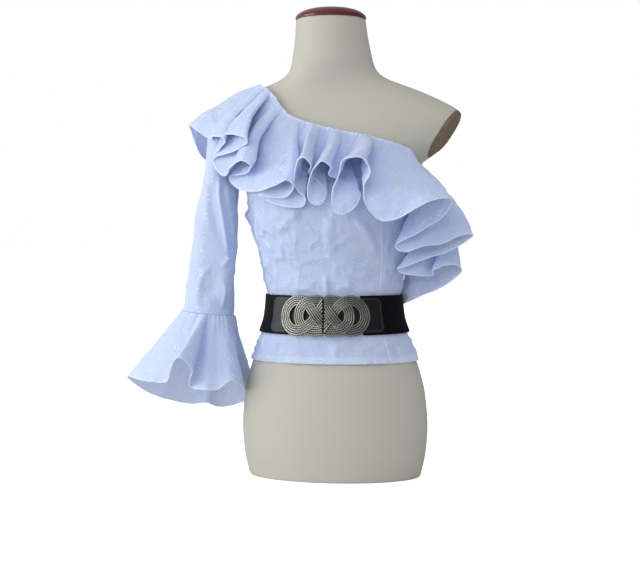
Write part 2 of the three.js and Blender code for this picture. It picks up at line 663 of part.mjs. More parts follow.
const COTTON = { color: 0xe3ebf7, roughness: 0.85, metalness: 0 };
const LINEN = { color: 0xc9cabb, roughness: 0.8, metalness: 0 };
const LACQUER = { color: 0x4a1a1a, roughness: 0.2, metalness: 0 };
const BOARD = { color: 0x5f5444, roughness: 0.8, metalness: 0 };
const ELASTIC = { color: 0x15161a, roughness: 0.8, metalness: 0 };
const LEATHER = { color: 0x2c2c30, roughness: 0.6, metalness: 0 };
const SILVER = { color: 0x8f8e86, roughness: 0.35, metalness: 0.9 };

function group(pieces) {
  const made = new THREE.Group();
  for (const [name, geometry, look] of pieces) {
    const mesh = new THREE.Mesh(geometry, new THREE.MeshStandardMaterial(look));
    mesh.name = name;
    made.add(mesh);
  }
  return made;
}

const shoulders = formSolids();
const dressForm = group([
  ['form_torso', shoulders.torso, LINEN],
  ['arm_plate_left', shoulders.left, BOARD],
  ['arm_plate_right', shoulders.right, BOARD],
  ['neck_cap', neckCap(), LACQUER],
]);

const blouse = group([
  ['front_center', panel(princess('right'), princess('left'), GRID.panel.center), COTTON],
  ['front_side_left', panel(princess('left'), () => 90, GRID.panel.side), COTTON],
  ['front_side_right', cutArmhole(panel(() => -90, princess('right'), GRID.panel.side)), COTTON],
  ['back_panel', cutArmhole(panel(() => 90, () => 270, GRID.panel.back)), COTTON],
  ['frill_front', frill(0, FRILL_JOIN, GRID.frill.front), COTTON],
  ['frill_back', frill(FRILL_JOIN, FRILL.length, GRID.frill.back), COTTON],
  ['sleeve_right', sleeve(), COTTON],
  ['sleeve_bell', bell(), COTTON],
]);

const belt = group([
  ['belt_band', beltBand(), ELASTIC],
  ['belt_tab_left', beltTab(1), LEATHER],
  ['belt_tab_right', beltTab(-1), LEATHER],
  ['buckle_left', buckleHalf(1), SILVER],
  ['buckle_right', buckleHalf(-1), SILVER],
]);

const object = new THREE.Group();
object.add(dressForm, blouse, belt);

export default object;
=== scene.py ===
import math

import bpy
import numpy as np
from mathutils import Matrix, Vector


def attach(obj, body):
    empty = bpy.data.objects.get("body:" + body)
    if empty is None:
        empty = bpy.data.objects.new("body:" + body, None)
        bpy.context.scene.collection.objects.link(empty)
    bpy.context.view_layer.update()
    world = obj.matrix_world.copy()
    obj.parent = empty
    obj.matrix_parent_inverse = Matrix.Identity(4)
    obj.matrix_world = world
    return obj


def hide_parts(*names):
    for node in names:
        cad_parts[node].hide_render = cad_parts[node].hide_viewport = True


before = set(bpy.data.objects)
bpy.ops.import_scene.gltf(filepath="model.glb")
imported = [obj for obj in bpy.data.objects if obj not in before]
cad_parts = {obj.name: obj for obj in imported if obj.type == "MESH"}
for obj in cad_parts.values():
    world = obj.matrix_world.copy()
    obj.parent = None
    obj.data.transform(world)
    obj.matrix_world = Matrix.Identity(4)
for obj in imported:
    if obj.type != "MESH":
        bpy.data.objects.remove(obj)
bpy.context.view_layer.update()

# A one-shoulder flamenco blouse with its elastic belt, on a limbless dress form.
# Sizes in the tables are millimetres, as in the part's source, and become metres
# when a mesh is made. +Z is up, the front faces -Y, the wearer's left is +X.
# A place on the form is a turn in degrees (0 in front, 90 at the wearer's left)
# and a height.

MM = 0.001

# ---- Driving sizes, the same as the solids ----

BODICE_GAP, BODICE_WALL = 2.0, 1.5
SHOULDER_FROM, SHOULDER_TO, SHOULDER_EASE = 540.0, 600.0, 2.4
HEM_HEIGHT = 196.0
FRILL_WALL, FRILL_GAP, FRILL_SWELL = 1.2, 0.5, 0.03
LIFT_HEIGHT, LIFT_OUT, LIFT_SPAN = 652.0, 19.0, 13.0
SLEEVE_WALL, BELL_WALL, SEAM = 1.5, 1.2, 0.3
BELT_LOW, BELT_HIGH, BELT_GAP, BELT_WALL, BELT_END = 243.0, 309.0, 1.8, 2.4, 30.0
TAB_GAP, TAB_WALL, TAB_MARGIN, TAB_CORNER, TAB_END, TAB_SPLIT = 0.5, 1.8, 3.0, 12.0, 99.0, 0.5
KNOT_GAP = 0.6
NECK_TOP = 767.0
CAP_WALL, CAP_DOME, CAP_LIP = 3.5, 16.0, 1.02
PLATE_WALL = 5.0
SIDES = ((1, "left"), (-1, "right"))     # the wearer's, as a sign along X and a word

# ---- Tables and curves ----


def table(columns, rows):
    """A short table with named columns. A row may start with a word that names it."""
    numbers = [[x for x in row if not isinstance(x, str)] for row in rows]
    return dict(zip(columns.split(), np.array(numbers, float).T))


def each(rows, columns):
    """The rows of a table one after another, as plain numbers in the order of the named columns."""
    return zip(*(rows[column].tolist() for column in columns.split()))


def read(rows, key, column, at):
    """Smooth value of a column at places in the key column, with no overshoot between the rows."""
    x, y = rows[key], rows[column]
    step = np.diff(x)
    slope = np.diff(y) / step
    tangent = np.zeros_like(y)
    tangent[0], tangent[-1] = slope[0], slope[-1]
    before, after = slope[:-1], slope[1:]
    same = before * after > 0
    a, b = 2 * step[1:] + step[:-1], step[1:] + 2 * step[:-1]
    safe_before, safe_after = np.where(same, before, 1), np.where(same, after, 1)
    tangent[1:-1] = np.where(same, (a + b) / (a / safe_before + b / safe_after), 0)
    place = np.clip(at, x[0], x[-1])
    i = np.clip(np.searchsorted(x, place) - 1, 0, len(x) - 2)
    h = step[i]
    t = (place - x[i]) / h
    return (y[i] * (1 + 2 * t) * (1 - t) ** 2 + h * tangent[i] * t * (1 - t) ** 2
            + y[i + 1] * t * t * (3 - 2 * t) + h * tangent[i + 1] * t * t * (t - 1))


def smooth_step(x, low, high):
    t = np.clip((x - low) / (high - low), 0, 1)
    return t * t * (3 - 2 * t)


def mix(a, b, t):
    return a + (b - a) * t


def closed_curve(points, place):
    """A centripetal curve through a closed ring of points. The place counts points."""
    count = len(points)
    i = np.floor(place).astype(int)
    t = (place - i)[..., None]
    p0, p1, p2, p3 = (points[(i + k) % count] for k in (-1, 0, 1, 2))
    pairs = ((p0, p1), (p1, p2), (p2, p3))
    d0, d1, d2 = (np.sqrt(np.linalg.norm(b - a, axis=-1))[..., None] for a, b in pairs)
    m1 = ((p1 - p0) / d0 - (p2 - p0) / (d0 + d1) + (p2 - p1) / d1) * d1
    m2 = ((p2 - p1) / d1 - (p3 - p1) / (d1 + d2) + (p3 - p2) / d2) * d1
    return p1 + m1 * t + (-3 * p1 + 3 * p2 - 2 * m1 - m2) * t ** 2 + (2 * p1 - 2 * p2 + m1 + m2) * t ** 3


def run_of(line):
    """How far each point of a line is from its start."""
    return np.concatenate([[0], np.cumsum(np.linalg.norm(np.diff(line, axis=0), axis=-1))])


def fall_of(middle):
    """How far each point of a grid is below the top of its column."""
    down = np.linalg.norm(np.diff(middle, axis=0), axis=-1)
    return np.concatenate([np.zeros((1, middle.shape[1])), np.cumsum(down, 0)])


def beside(line):
    """Unit steps to one side of a flat line of points."""
    along = np.gradient(line, axis=0)
    along /= np.linalg.norm(along, axis=1)[:, None]
    return np.stack([-along[:, 1], along[:, 0]], -1)


def lumps(points, size, seed):
    """Smooth uneven bumps from -1 to 1, about one size across."""
    lattice = np.random.default_rng(seed).uniform(-1, 1, (32, 32, 32))
    q = points / size
    cell = np.floor(q).astype(int)
    part = q - cell
    part = part * part * (3 - 2 * part)
    total = 0
    for corner in np.ndindex(2, 2, 2):
        weight = np.prod(np.where(corner, part, 1 - part), axis=-1)
        x, y, z = np.moveaxis((cell + corner) % 32, -1, 0)
        total = total + weight * lattice[x, y, z]
    return total


def crumple(points, size, seed):
    """Small sharp-backed bumps, as in cotton that has been worn or packed."""
    return 0.5 - 2.2 * np.abs(lumps(points, size, seed))


def uneven_cloth(points, seed, swell, large, small):
    """Cloth that is not quite flat: a smooth swell with large and small crumples on it, each
    given as a height and a size."""
    return (swell[0] * lumps(points, swell[1], seed) + large[0] * crumple(points, large[1], seed + 1)
            + small[0] * crumple(points, small[1], seed + 2))


def creases(across, down, rows):
    """Soft ridges, and troughs where height is negative, along slightly bowed lines."""
    total = np.zeros_like(across)
    for x0, y0, x1, y1, bow, width, height in each(rows, "x0 y0 x1 y1 bow width height"):
        length = math.hypot(x1 - x0, y1 - y0)
        ux, uy = (x1 - x0) / length, (y1 - y0) / length
        along = ((across - x0) * ux + (down - y0) * uy) / length
        aside = (down - y0) * ux - (across - x0) * uy - bow * 4 * along * (1 - along)
        fade = smooth_step(along, -0.1, 0.25) * (1 - smooth_step(along, 0.7, 1.1))
        total += height * fade * np.exp(-((aside / width) ** 2))
    return total


# ---- The shape of the form ----

FORM = table("z side front back middle", [
    (0, 147, 98, 108, 6), (42, 156, 102, 114, 6), (85, 159, 103, 118, 6), (138, 155, 100, 116, 5),
    (178, 146, 96, 108, 4), (212, 134, 92, 99, 3), (243, 122, 88, 91, 1), (272, 113, 85, 85, 0),
    (306, 110, 85, 83, 0), (348, 119, 89, 85, 0), (382, 127, 94, 88, 0), (416, 135, 98, 92, 0),
    (450, 142, 99, 96, 0), (484, 146, 96, 101, 0), (515, 147, 90, 105, 0), (528, 149.5, 87, 106, 0),
    (540, 165, 84, 107, 1), (570, 204, 77, 107, 2), (600, 222, 70, 103, 3), (617, 209, 65, 97, 4),
    (631, 185, 60, 88, 2), (646, 153, 56, 77, -1), (660, 117, 55, 68, -4), (670, 91.5, 56, 64, -7),
    (680, 77.5, 57, 62, -10), (692, 70.5, 58, 60, -14), (712, 66, 57, 58, -19), (740, 61, 56, 56, -25),
    (NECK_TOP, 58, 55, 55, -31),
])
BUST_X, BUST_Z, BUST_OUT, BUST_WIDE, BUST_HIGH = 70, 468, 36, 50, 52
# The flat end of each shoulder runs from a low to a high point and is turned a little forward.
ARM_LOW, ARM_HIGH = Vector((155, 0, 527)), Vector((209, 0, 617))
ARM_FORWARD = 0.12
ARM_CUT = 160        # how far out the block reaches that cuts a shoulder flat


def ring_at(z, lift=0.0):
    more = lift * np.exp(-(((z - LIFT_HEIGHT) / LIFT_SPAN) ** 2))
    side, front, back, middle = (read(FORM, "z", c, z) for c in ("side", "front", "back", "middle"))
    return side + more, front + more / 2, back + more / 2, middle


def bust(x, z):
    hills = sum(np.exp(-(((x - s * BUST_X) / BUST_WIDE) ** 2) / 2) for s in (-1, 1))
    return BUST_OUT * hills * np.exp(-(((z - BUST_Z) / BUST_HIGH) ** 2) / 2)


def ring_point(turn, z, size=1.0, lift=0.0):
    """A point on the ring at a height, where size 1 is the form's own surface."""
    turn, z, size = np.broadcast_arrays(turn, z, size)
    side, front, back, middle = ring_at(z, lift)
    sine, cosine = np.sin(np.radians(turn)), np.cos(np.radians(turn))
    x = side * size * sine
    depth = np.where(cosine > 0, front + bust(x, z), back)
    return np.stack([x, middle - depth * size * cosine, z], -1)


def ring_of(point, lift=0.0):
    """The turn and size of the ring through a point."""
    x, y, z = np.moveaxis(point, -1, 0)
    side, front, back, middle = ring_at(z, lift)
    ahead = middle - y
    depth = np.where(ahead > 0, front + bust(x, z), back)
    across, forward = x / side, ahead / depth
    return np.degrees(np.arctan2(across, forward)), np.hypot(across, forward)


def skin(turn, z, out):
    """The point that lies a given distance off the form."""
    turn, z = np.broadcast_arrays(np.asarray(turn, float), np.asarray(z, float))
    nudge = 0.4
    round_ = ring_point(turn + nudge, z) - ring_point(turn - nudge, z)
    rise = ring_point(turn, z + nudge) - ring_point(turn, z - nudge)
    normal = np.cross(round_, rise)
    normal /= np.linalg.norm(normal, axis=-1, keepdims=True)
    return ring_point(turn, z) + normal * np.asarray(out)[..., None]


# ---- Making meshes ----


def only(piece):
    """Makes one piece the selected and active one."""
    bpy.ops.object.select_all(action="DESELECT")
    piece.select_set(True)
    bpy.context.view_layer.objects.active = piece


def mesh_piece(name, points, faces, uv=None):
    """A piece from points in millimetres, with the faces and any map of the cloth."""
    mesh = bpy.data.meshes.new(name)
    mesh.from_pydata((points * MM).tolist(), [], faces)
    if uv is not None:
        layer = mesh.uv_layers.new(name="cloth")
        layer.data.foreach_set("uv", (np.asarray(uv) * MM).ravel())
    piece = bpy.data.objects.new(name, mesh)
    bpy.context.collection.objects.link(piece)
    return piece


def smooth(piece, angle=45):
    only(piece)
    bpy.ops.object.shade_smooth_by_angle(angle=math.radians(angle))


def round_edges(piece, radius, segments, angle):
    only(piece)
    edge = piece.modifiers.new("edge", "BEVEL")
    edge.width, edge.segments, edge.angle_limit = radius * MM, segments, math.radians(angle)
    bpy.ops.object.modifier_apply(modifier=edge.name)


def face_outwards(piece):
    only(piece)
    bpy.ops.object.mode_set(mode="EDIT")
    bpy.ops.mesh.select_all(action="SELECT")
    bpy.ops.mesh.normals_make_consistent(inside=False)
    bpy.ops.object.mode_set(mode="OBJECT")


def tube_faces(rows, columns):
    """The sides of a tube, whose rows of points go round it, and its two flat ends."""
    j, i = np.meshgrid(np.arange(rows - 1), np.arange(columns), indexing="ij")
    j, i = j.ravel(), i.ravel()
    after = (i + 1) % columns
    corners = [j * columns + i, j * columns + after, (j + 1) * columns + after, (j + 1) * columns + i]
    ends = [list(range(columns))[::-1], [(rows - 1) * columns + n for n in range(columns)]]
    return np.stack(corners, -1).tolist() + ends


def joined_tubes(name, tubes):
    """One piece of many closed tubes, each a grid of points whose rows go round it."""
    faces, start = [], 0
    for tube in tubes:
        rows, columns = tube.shape[:2]
        faces += [[start + corner for corner in face] for face in tube_faces(rows, columns)]
        start += rows * columns
    piece = mesh_piece(name, np.concatenate([tube.reshape(-1, 3) for tube in tubes]), faces)
    face_outwards(piece)
    return piece


def grid_normals(middle, ring):
    """The direction square to a grid of points. On a ring the last column repeats the first."""
    wrapped = np.concatenate([middle[:, -2:-1], middle, middle[:, 1:2]], 1) if ring else middle
    across = np.gradient(wrapped, axis=1)
    across = across[:, 1:-1] if ring else across
    normal = np.cross(across, np.gradient(middle, axis=0))
    return normal / np.maximum(np.linalg.norm(normal, axis=-1, keepdims=True), 1e-9)


def mark_points(piece, name, values):
    """Keeps a number for each point of a mesh, for its material to read."""
    made = piece.data.attributes.new(name, "FLOAT", "POINT")
    made.data.foreach_set("value", np.asarray(values, np.float32).ravel())


def shell(name, middle, thick, ring=False, doubled=None):
    """A closed thin wall of cloth round a grid of middle points. Where it is a ring, the last
    column repeats the first. Doubled is 1 where the cloth is turned or sewn double."""
    rows, columns = middle.shape[0], middle.shape[1]
    used = columns - 1 if ring else columns
    normal = grid_normals(middle, ring)
    half = np.broadcast_to(np.asarray(thick, float), middle.shape[:2])[..., None] / 2
    sides = [middle - normal * half, middle + normal * half]
    points = np.concatenate([s[:, :used].reshape(-1, 3) for s in sides])
    # The pattern follows the cloth: distance across its middle row, and down each column.
    u, v = np.broadcast_to(run_of(middle[rows // 2]), (rows, columns)), fall_of(middle)
    j, i = np.meshgrid(np.arange(rows - 1), np.arange(columns - 1), indexing="ij")
    j, i = j.ravel(), i.ravel()
    back = [(0, j, i), (0, j + 1, i), (0, j + 1, i + 1), (0, j, i + 1)]
    front = [(1, j, i), (1, j, i + 1), (1, j + 1, i + 1), (1, j + 1, i)]
    k = np.arange(columns - 1)
    first, last = np.zeros_like(k), np.full_like(k, rows - 1)
    top = [(0, first, k), (0, first, k + 1), (1, first, k + 1), (1, first, k)]
    end = [(0, last, k), (1, last, k), (1, last, k + 1), (0, last, k + 1)]
    walls = [back, front, top, end]
    if not ring:
        k = np.arange(rows - 1)
        first, last = np.zeros_like(k), np.full_like(k, columns - 1)
        walls.append([(0, k, first), (1, k, first), (1, k + 1, first), (0, k + 1, first)])
        walls.append([(0, k, last), (0, k + 1, last), (1, k + 1, last), (1, k, last)])
    faces, uv = [], []
    for wall in walls:
        faces.append(np.stack([side * rows * used + jj * used + ii % used for side, jj, ii in wall], -1))
        uv.append(np.stack([np.stack([u[jj, ii], v[jj, ii]], -1) for _, jj, ii in wall], 1))
    faces, uv = np.concatenate(faces), np.concatenate(uv)
    a, b, c, d = (points[faces[:, n]] for n in range(4))
    volume = np.sum(a * np.cross(b, c) + a * np.cross(c, d))
    if volume < 0:
        faces, uv = faces[:, ::-1], uv[:, ::-1]
    piece = mesh_piece(name, points, faces.tolist(), uv.reshape(-1, 2))
    if doubled is not None:
        mark_points(piece, "doubled", np.tile(doubled[:, :used].ravel(), 2))
    smooth(piece, 60)
    return piece


def move_out(middle, amount, ring=False):
    """Moves a grid of points away from the form, or from the middle of its own ring, by an
    amount at each point."""
    normal = grid_normals(middle, ring)
    if ring:
        away = middle - middle.mean(1, keepdims=True)
    else:
        away = middle[: max(2, len(middle) // 8)] * (1, 1, 0)
    sign = 1 if np.mean(np.sum(normal[: len(away)] * away, -1)) > 0 else -1
    return middle + normal * sign * amount[..., None]


def hem_rows(count, last, inside):
    """Row places from 0 to 1, closer together over the last part, where the hem is rolled."""
    return np.concatenate([
        np.linspace(0, 1 - last, count - inside), np.linspace(1 - last, 1, inside + 1)[1:]])


def bead(distance, deep):
    """A rounded swelling from 0 at an edge, over a given depth."""
    return np.sqrt(np.clip(1 - ((distance - deep / 2) / (deep / 2)) ** 2, 0, 1))


def rolled(middle, thin, thick, deep, top=0.0, top_deep=4.5):
    """Thickness of a sheet that is rolled into a narrow hem at its lower edge, and where it is
    doubled. Its top edge may be bound as well."""
    fall = fall_of(middle)
    left = fall[-1:] - fall
    wall = thin + (thick - thin) * bead(left, deep)
    wall = np.where(left < 0.1, thin * 0.7, wall)
    doubled = 1 - smooth_step(left, deep - 0.6, deep + 0.4)
    if top:
        wall = wall + top * bead(fall, top_deep)
        doubled = np.maximum(doubled, 1 - smooth_step(fall, top_deep - 0.8, top_deep + 0.4))
    return wall, doubled


def arm_block(side, near, far):
    """A block along the shoulder's flat end, from one distance outside it to another."""
    along = (ARM_HIGH - ARM_LOW).normalized()
    back = Vector((ARM_FORWARD, 1, 0)).normalized()
    out = back.cross(along).normalized()
    bpy.ops.object.select_all(action="DESELECT")
    bpy.ops.mesh.primitive_cube_add(size=1)
    block = bpy.context.object
    middle = ARM_LOW + along * 100 + out * (near + far) / 2
    size = Matrix.Diagonal((200 * MM, 320 * MM, (far - near) * MM, 1))
    turned = Matrix((along, back, out)).transposed().to_4x4()
    block.data.transform(Matrix.Diagonal((side, 1, 1, 1)) @ Matrix.Translation(middle * MM) @ turned @ size)
    face_outwards(block)
    return block


def carve(piece, block, operation="DIFFERENCE"):
    """Cuts a block off a piece, or keeps only what is inside it."""
    only(piece)
    cut = piece.modifiers.new("cut", "BOOLEAN")
    cut.object, cut.operation, cut.solver = block, operation, "EXACT"
    bpy.ops.object.modifier_apply(modifier=cut.name)
    bpy.data.objects.remove(block)


# ---- Materials ----


def node(tree, kind, **settings):
    made = tree.nodes.new(kind)
    for name, value in settings.items():
        setattr(made, name, value)
    return made


def feed(tree, socket, value):
    """Links a socket to another one, or gives it a value or a colour of its own."""
    if isinstance(value, bpy.types.NodeSocket):
        tree.links.new(value, socket)
    elif isinstance(value, tuple):
        socket.default_value = (*value, 1)
    else:
        socket.default_value = value


def math_node(tree, operation, *values, clamp=False):
    made = node(tree, "ShaderNodeMath", operation=operation, use_clamp=clamp)
    for socket, value in zip(made.inputs, values):
        feed(tree, socket, value)
    return made.outputs[0]


def colour_mix(tree, factor, first, second):
    made = node(tree, "ShaderNodeMix", data_type="RGBA")
    feed(tree, made.inputs["Factor"], factor)
    for name, colour in (("A", first), ("B", second)):
        feed(tree, next(s for s in made.inputs if s.name == name and s.type == "RGBA"), colour)
    return next(s for s in made.outputs if s.type == "RGBA")


def apart(tree, vector):
    """The three numbers of a vector."""
    split = node(tree, "ShaderNodeSeparateXYZ")
    tree.links.new(vector, split.inputs[0])
    return split.outputs


def new_group(name, inputs, outputs):
    """An empty node group. Sockets are named by their kind: Float, Vector or Color."""
    group = bpy.data.node_groups.new(name, "ShaderNodeTree")
    for side, sockets in (("INPUT", inputs), ("OUTPUT", outputs)):
        for kind, labels in sockets.items():
            for label in labels:
                group.interface.new_socket(label, in_out=side, socket_type=f"NodeSocket{kind}")
    return group, node(group, "NodeGroupInput").outputs, node(group, "NodeGroupOutput").inputs


def placed(tree, group, **given):
    """A node group placed in a material or another group, with its own values or links."""
    made = node(tree, "ShaderNodeGroup", node_tree=group)
    for name, value in given.items():
        feed(tree, made.inputs[name.replace("_", " ")], value)
    return made.outputs


def mottle_group():
    """Soft uneven patches, as an amount and as a tone between two colours."""
    group, given, result = new_group(
        "soft_mottle", {"Vector": ["Place"], "Float": ["Scale", "Detail"], "Color": ["Dark", "Light"]},
        {"Color": ["Tone"], "Float": ["Amount"]})
    noise = node(group, "ShaderNodeTexNoise")
    for label, socket in (("Place", "Vector"), ("Scale", "Scale"), ("Detail", "Detail")):
        group.links.new(given[label], noise.inputs[socket])
    amount = noise.outputs["Fac"]
    group.links.new(amount, result["Amount"])
    group.links.new(colour_mix(group, amount, given["Dark"], given["Light"]), result["Tone"])
    return group


def leaf_group():
    """One stitched leaf: 1 inside an ellipse of a given place, turn and size, and 0 outside."""
    group, given, result = new_group(
        "stitched_leaf", {"Float": ["X", "Y", "At X", "At Y", "Turn", "Long", "Wide"]}, {"Float": ["Leaf"]})
    dx = math_node(group, "SUBTRACT", given["X"], given["At X"])
    dy = math_node(group, "SUBTRACT", given["Y"], given["At Y"])
    sine, cosine = (math_node(group, operation, given["Turn"]) for operation in ("SINE", "COSINE"))

    def product(first, second):
        return math_node(group, "MULTIPLY", first, second)

    def squared(distance, size):
        return math_node(group, "POWER", math_node(group, "DIVIDE", distance, given[size]), 2.0)

    along = math_node(group, "ADD", product(dx, cosine), product(dy, sine))
    aside = math_node(group, "SUBTRACT", product(dy, cosine), product(dx, sine))
    reach = math_node(group, "ADD", squared(along, "Long"), squared(aside, "Wide"))
    inside = math_node(group, "SUBTRACT", 1.25, reach)
    group.links.new(math_node(group, "MULTIPLY", inside, 1.6, clamp=True), result["Leaf"])
    return group


# Leaves of the sprig that repeats between the flowers, in millimetres and degrees.
SPRIG = table("x y turn long", [
    (-11, 4, 20, 2.2), (-5, -6, 105, 1.9), (4, -1, 50, 2.4), (9, 8, 80, 1.8), (13, -10, 10, 2.2),
])
PETAL_OUT, PETAL_LONG, PETAL_WIDE, EYELET, LEAF_WIDE = 3.3, 2.2, 1.5, 0.9, 0.95
FLOWER_ACROSS, FLOWER_DOWN, SPRIG_SHARE, SPRIG_SHIFT = 56.0, 32.0, 0.62, 0.35


def embroidery_group(leaf):
    """White embroidery: four-petalled flowers on a half-drop repeat, with sprigs between them."""
    group, given, result = new_group(
        "white_embroidery", {"Vector": ["Cloth"], "Float": ["Across", "Down"]}, {"Float": ["Thread", "Hole"]})
    x, y = (math_node(group, "MULTIPLY", metres, 1000.0) for metres in apart(group, given["Cloth"])[:2])

    def repeat(across, down, shift):
        """Place in a half-drop repeat, in millimetres from the middle of the cell."""
        column = math_node(group, "DIVIDE", x, across)
        odd = math_node(group, "MODULO", math_node(group, "FLOOR", column), 2.0)
        drop = math_node(group, "MULTIPLY_ADD", odd, 0.5, shift)
        row = math_node(group, "ADD", math_node(group, "DIVIDE", y, down), drop)
        local = []
        for value, size in ((column, across), (row, down)):
            fraction = math_node(group, "SUBTRACT", math_node(group, "FRACT", value), 0.5)
            local.append(math_node(group, "MULTIPLY", fraction, size))
        return local

    def stitched(at, left, up, turn, long, wide):
        return placed(group, leaf, X=at[0], Y=at[1], At_X=left, At_Y=up, Turn=math.radians(turn),
                      Long=long, Wide=wide)["Leaf"]

    flower = repeat(given["Across"], given["Down"], 0.0)
    folded = [math_node(group, "ABSOLUTE", value) for value in flower]
    between = repeat(math_node(group, "MULTIPLY", given["Across"], SPRIG_SHARE), given["Down"], SPRIG_SHIFT)
    thread = stitched(folded, PETAL_OUT, 0.0, 0.0, PETAL_LONG, PETAL_WIDE)
    others = [stitched(folded, 0.0, PETAL_OUT, 90.0, PETAL_LONG, PETAL_WIDE)]
    others += [stitched(between, *leaf_at, LEAF_WIDE) for leaf_at in each(SPRIG, "x y turn long")]
    for more in others:
        thread = math_node(group, "MAXIMUM", thread, more)
    group.links.new(thread, result["Thread"])
    group.links.new(stitched(flower, 0.0, 0.0, 0.0, EYELET, EYELET), result["Hole"])
    return group


def weave_group():
    """Plain weave: threads over and under each other, as a height from 0 to 1."""
    group, given, result = new_group(
        "plain_weave", {"Vector": ["Cloth"], "Float": ["Pitch"]}, {"Float": ["Height"]})
    waves = []
    for metres in apart(group, given["Cloth"])[:2]:
        angle = math_node(group, "MULTIPLY", metres, 2000 * math.pi)
        turns = math_node(group, "DIVIDE", angle, given["Pitch"])
        waves.append(math_node(group, "SINE", turns))
    height = math_node(group, "MULTIPLY_ADD", math_node(group, "MULTIPLY", *waves), 0.5, 0.5)
    group.links.new(height, result["Height"])
    return group


MOTTLE, WEAVE, EMBROIDERY = mottle_group(), weave_group(), embroidery_group(leaf_group())


def new_material(name, **constants):
    """A material with its tree and its shader, whose own sockets take the constants."""
    material = bpy.data.materials.new(name)
    material.use_nodes = True
    tree = material.node_tree
    shader = tree.nodes["Principled BSDF"]
    for label, value in constants.items():
        shader.inputs[label.replace("_", " ")].default_value = value
    return material, tree, shader


def bump(tree, shader, height, millimetres, strength=1.0):
    made = node(tree, "ShaderNodeBump")
    made.inputs["Distance"].default_value = millimetres * MM
    made.inputs["Strength"].default_value = strength
    tree.links.new(height, made.inputs["Height"])
    tree.links.new(made.outputs[0], shader.inputs["Normal"])


def object_place(tree):
    return node(tree, "ShaderNodeTexCoord").outputs["Object"]


def cloth_place(tree):
    return node(tree, "ShaderNodeUVMap", uv_map="cloth").outputs[0]


def kept_number(tree, name):
    """A number that a piece keeps for each of its points."""
    return node(tree, "ShaderNodeAttribute", attribute_name=name).outputs["Fac"]


def cotton_material():
    """White cotton in daylight: mottled cloth, lighter where it is double, with raised thread and eyelets
    whose middles are painted dark as the shade seen through the holes.
    """
    material, tree, shader = new_material(
        "embroidered_cotton", Sheen_Weight=0.15, Subsurface_Weight=0.3,
        Subsurface_Radius=(1.0, 1.0, 1.0), Subsurface_Scale=0.008)
    at, cloth = object_place(tree), cloth_place(tree)
    motif = placed(tree, EMBROIDERY, Cloth=cloth, Across=FLOWER_ACROSS, Down=FLOWER_DOWN)
    thread, hole = motif["Thread"], motif["Hole"]
    mottled = placed(tree, MOTTLE, Place=at, Scale=28.0, Detail=4.0,
                     Dark=(0.49, 0.60, 0.91), Light=(0.61, 0.72, 1.0))["Tone"]
    double = math_node(tree, "MULTIPLY", kept_number(tree, "doubled"), 0.45)
    layered = colour_mix(tree, double, mottled, (0.76, 0.84, 0.98))
    patches = placed(tree, MOTTLE, Place=at, Scale=45.0, Detail=2.0)["Amount"]
    uneven = math_node(tree, "MULTIPLY_ADD", patches, 2.6, -0.75, clamp=True)
    shine = math_node(tree, "MULTIPLY", thread, math_node(tree, "MULTIPLY_ADD", uneven, 0.75, 0.25))
    stitched = colour_mix(tree, shine, layered, (0.83, 0.91, 1.0))
    # The eyelets' middles are painted a shaded blue, as painted shade seen through the holes.
    eyelets_shaded = colour_mix(tree, hole, stitched, (0.44, 0.52, 0.76))
    tree.links.new(eyelets_shaded, shader.inputs["Base Color"])
    tree.links.new(math_node(tree, "MULTIPLY_ADD", thread, -0.35, 0.78), shader.inputs["Roughness"])
    raised = math_node(
        tree, "SUBTRACT", math_node(tree, "MULTIPLY", thread, 0.42), math_node(tree, "MULTIPLY", hole, 0.4))
    threads = placed(tree, WEAVE, Cloth=cloth, Pitch=0.45)["Height"]
    woven = math_node(tree, "MULTIPLY_ADD", threads, 0.06, raised)
    crinkle = placed(tree, MOTTLE, Place=at, Scale=160.0, Detail=5.0)["Amount"]
    bump(tree, shader, math_node(tree, "MULTIPLY_ADD", crinkle, 0.6, woven), 1.0)
    return material


def plain_material(name, scale, detail, dark, light, grain=None, **constants):
    """A mottled material. Grain is the scale, detail and height in millimetres of a fine bump."""
    material, tree, shader = new_material(name, **constants)
    at = object_place(tree)
    tone = placed(tree, MOTTLE, Place=at, Scale=scale, Detail=detail, Dark=dark, Light=light)["Tone"]
    tree.links.new(tone, shader.inputs["Base Color"])
    if grain:
        fine = placed(tree, MOTTLE, Place=at, Scale=grain[0], Detail=grain[1])["Amount"]
        bump(tree, shader, fine, grain[2], 0.6)
    return material


def elastic_material():
    """Black elastic with ribs along the belt and finer threads across them."""
    material, tree, shader = new_material("ribbed_elastic", Roughness=0.6, Specular_IOR_Level=0.15)
    along, rise = apart(tree, cloth_place(tree))[:2]

    def waves(metres, millimetres):
        return math_node(tree, "SINE", math_node(tree, "MULTIPLY", metres, 2000 * math.pi / millimetres))

    ribs = math_node(tree, "MULTIPLY_ADD", waves(rise, 3.2), 0.5, 0.5)
    height = math_node(tree, "MULTIPLY_ADD", waves(along, 1.1), 0.25, ribs)
    tone = colour_mix(tree, ribs, (0.002, 0.002, 0.002), (0.008, 0.008, 0.009))
    tree.links.new(tone, shader.inputs["Base Color"])
    bump(tree, shader, height, 0.5)
    return material


def leather_material():
    """Black imitation leather with a pebbled grain."""
    material, tree, shader = new_material("black_leather", Roughness=0.34, Specular_IOR_Level=0.7)
    cells = node(tree, "ShaderNodeTexVoronoi", feature="DISTANCE_TO_EDGE")
    cells.inputs["Scale"].default_value = 900
    tree.links.new(object_place(tree), cells.inputs["Vector"])
    grain = math_node(tree, "MULTIPLY", cells.outputs["Distance"], 4.0, clamp=True)
    tone = colour_mix(tree, grain, (0.002, 0.002, 0.002), (0.008, 0.008, 0.008))
    tree.links.new(tone, shader.inputs["Base Color"])
    bump(tree, shader, grain, 0.2, 0.7)
    return material


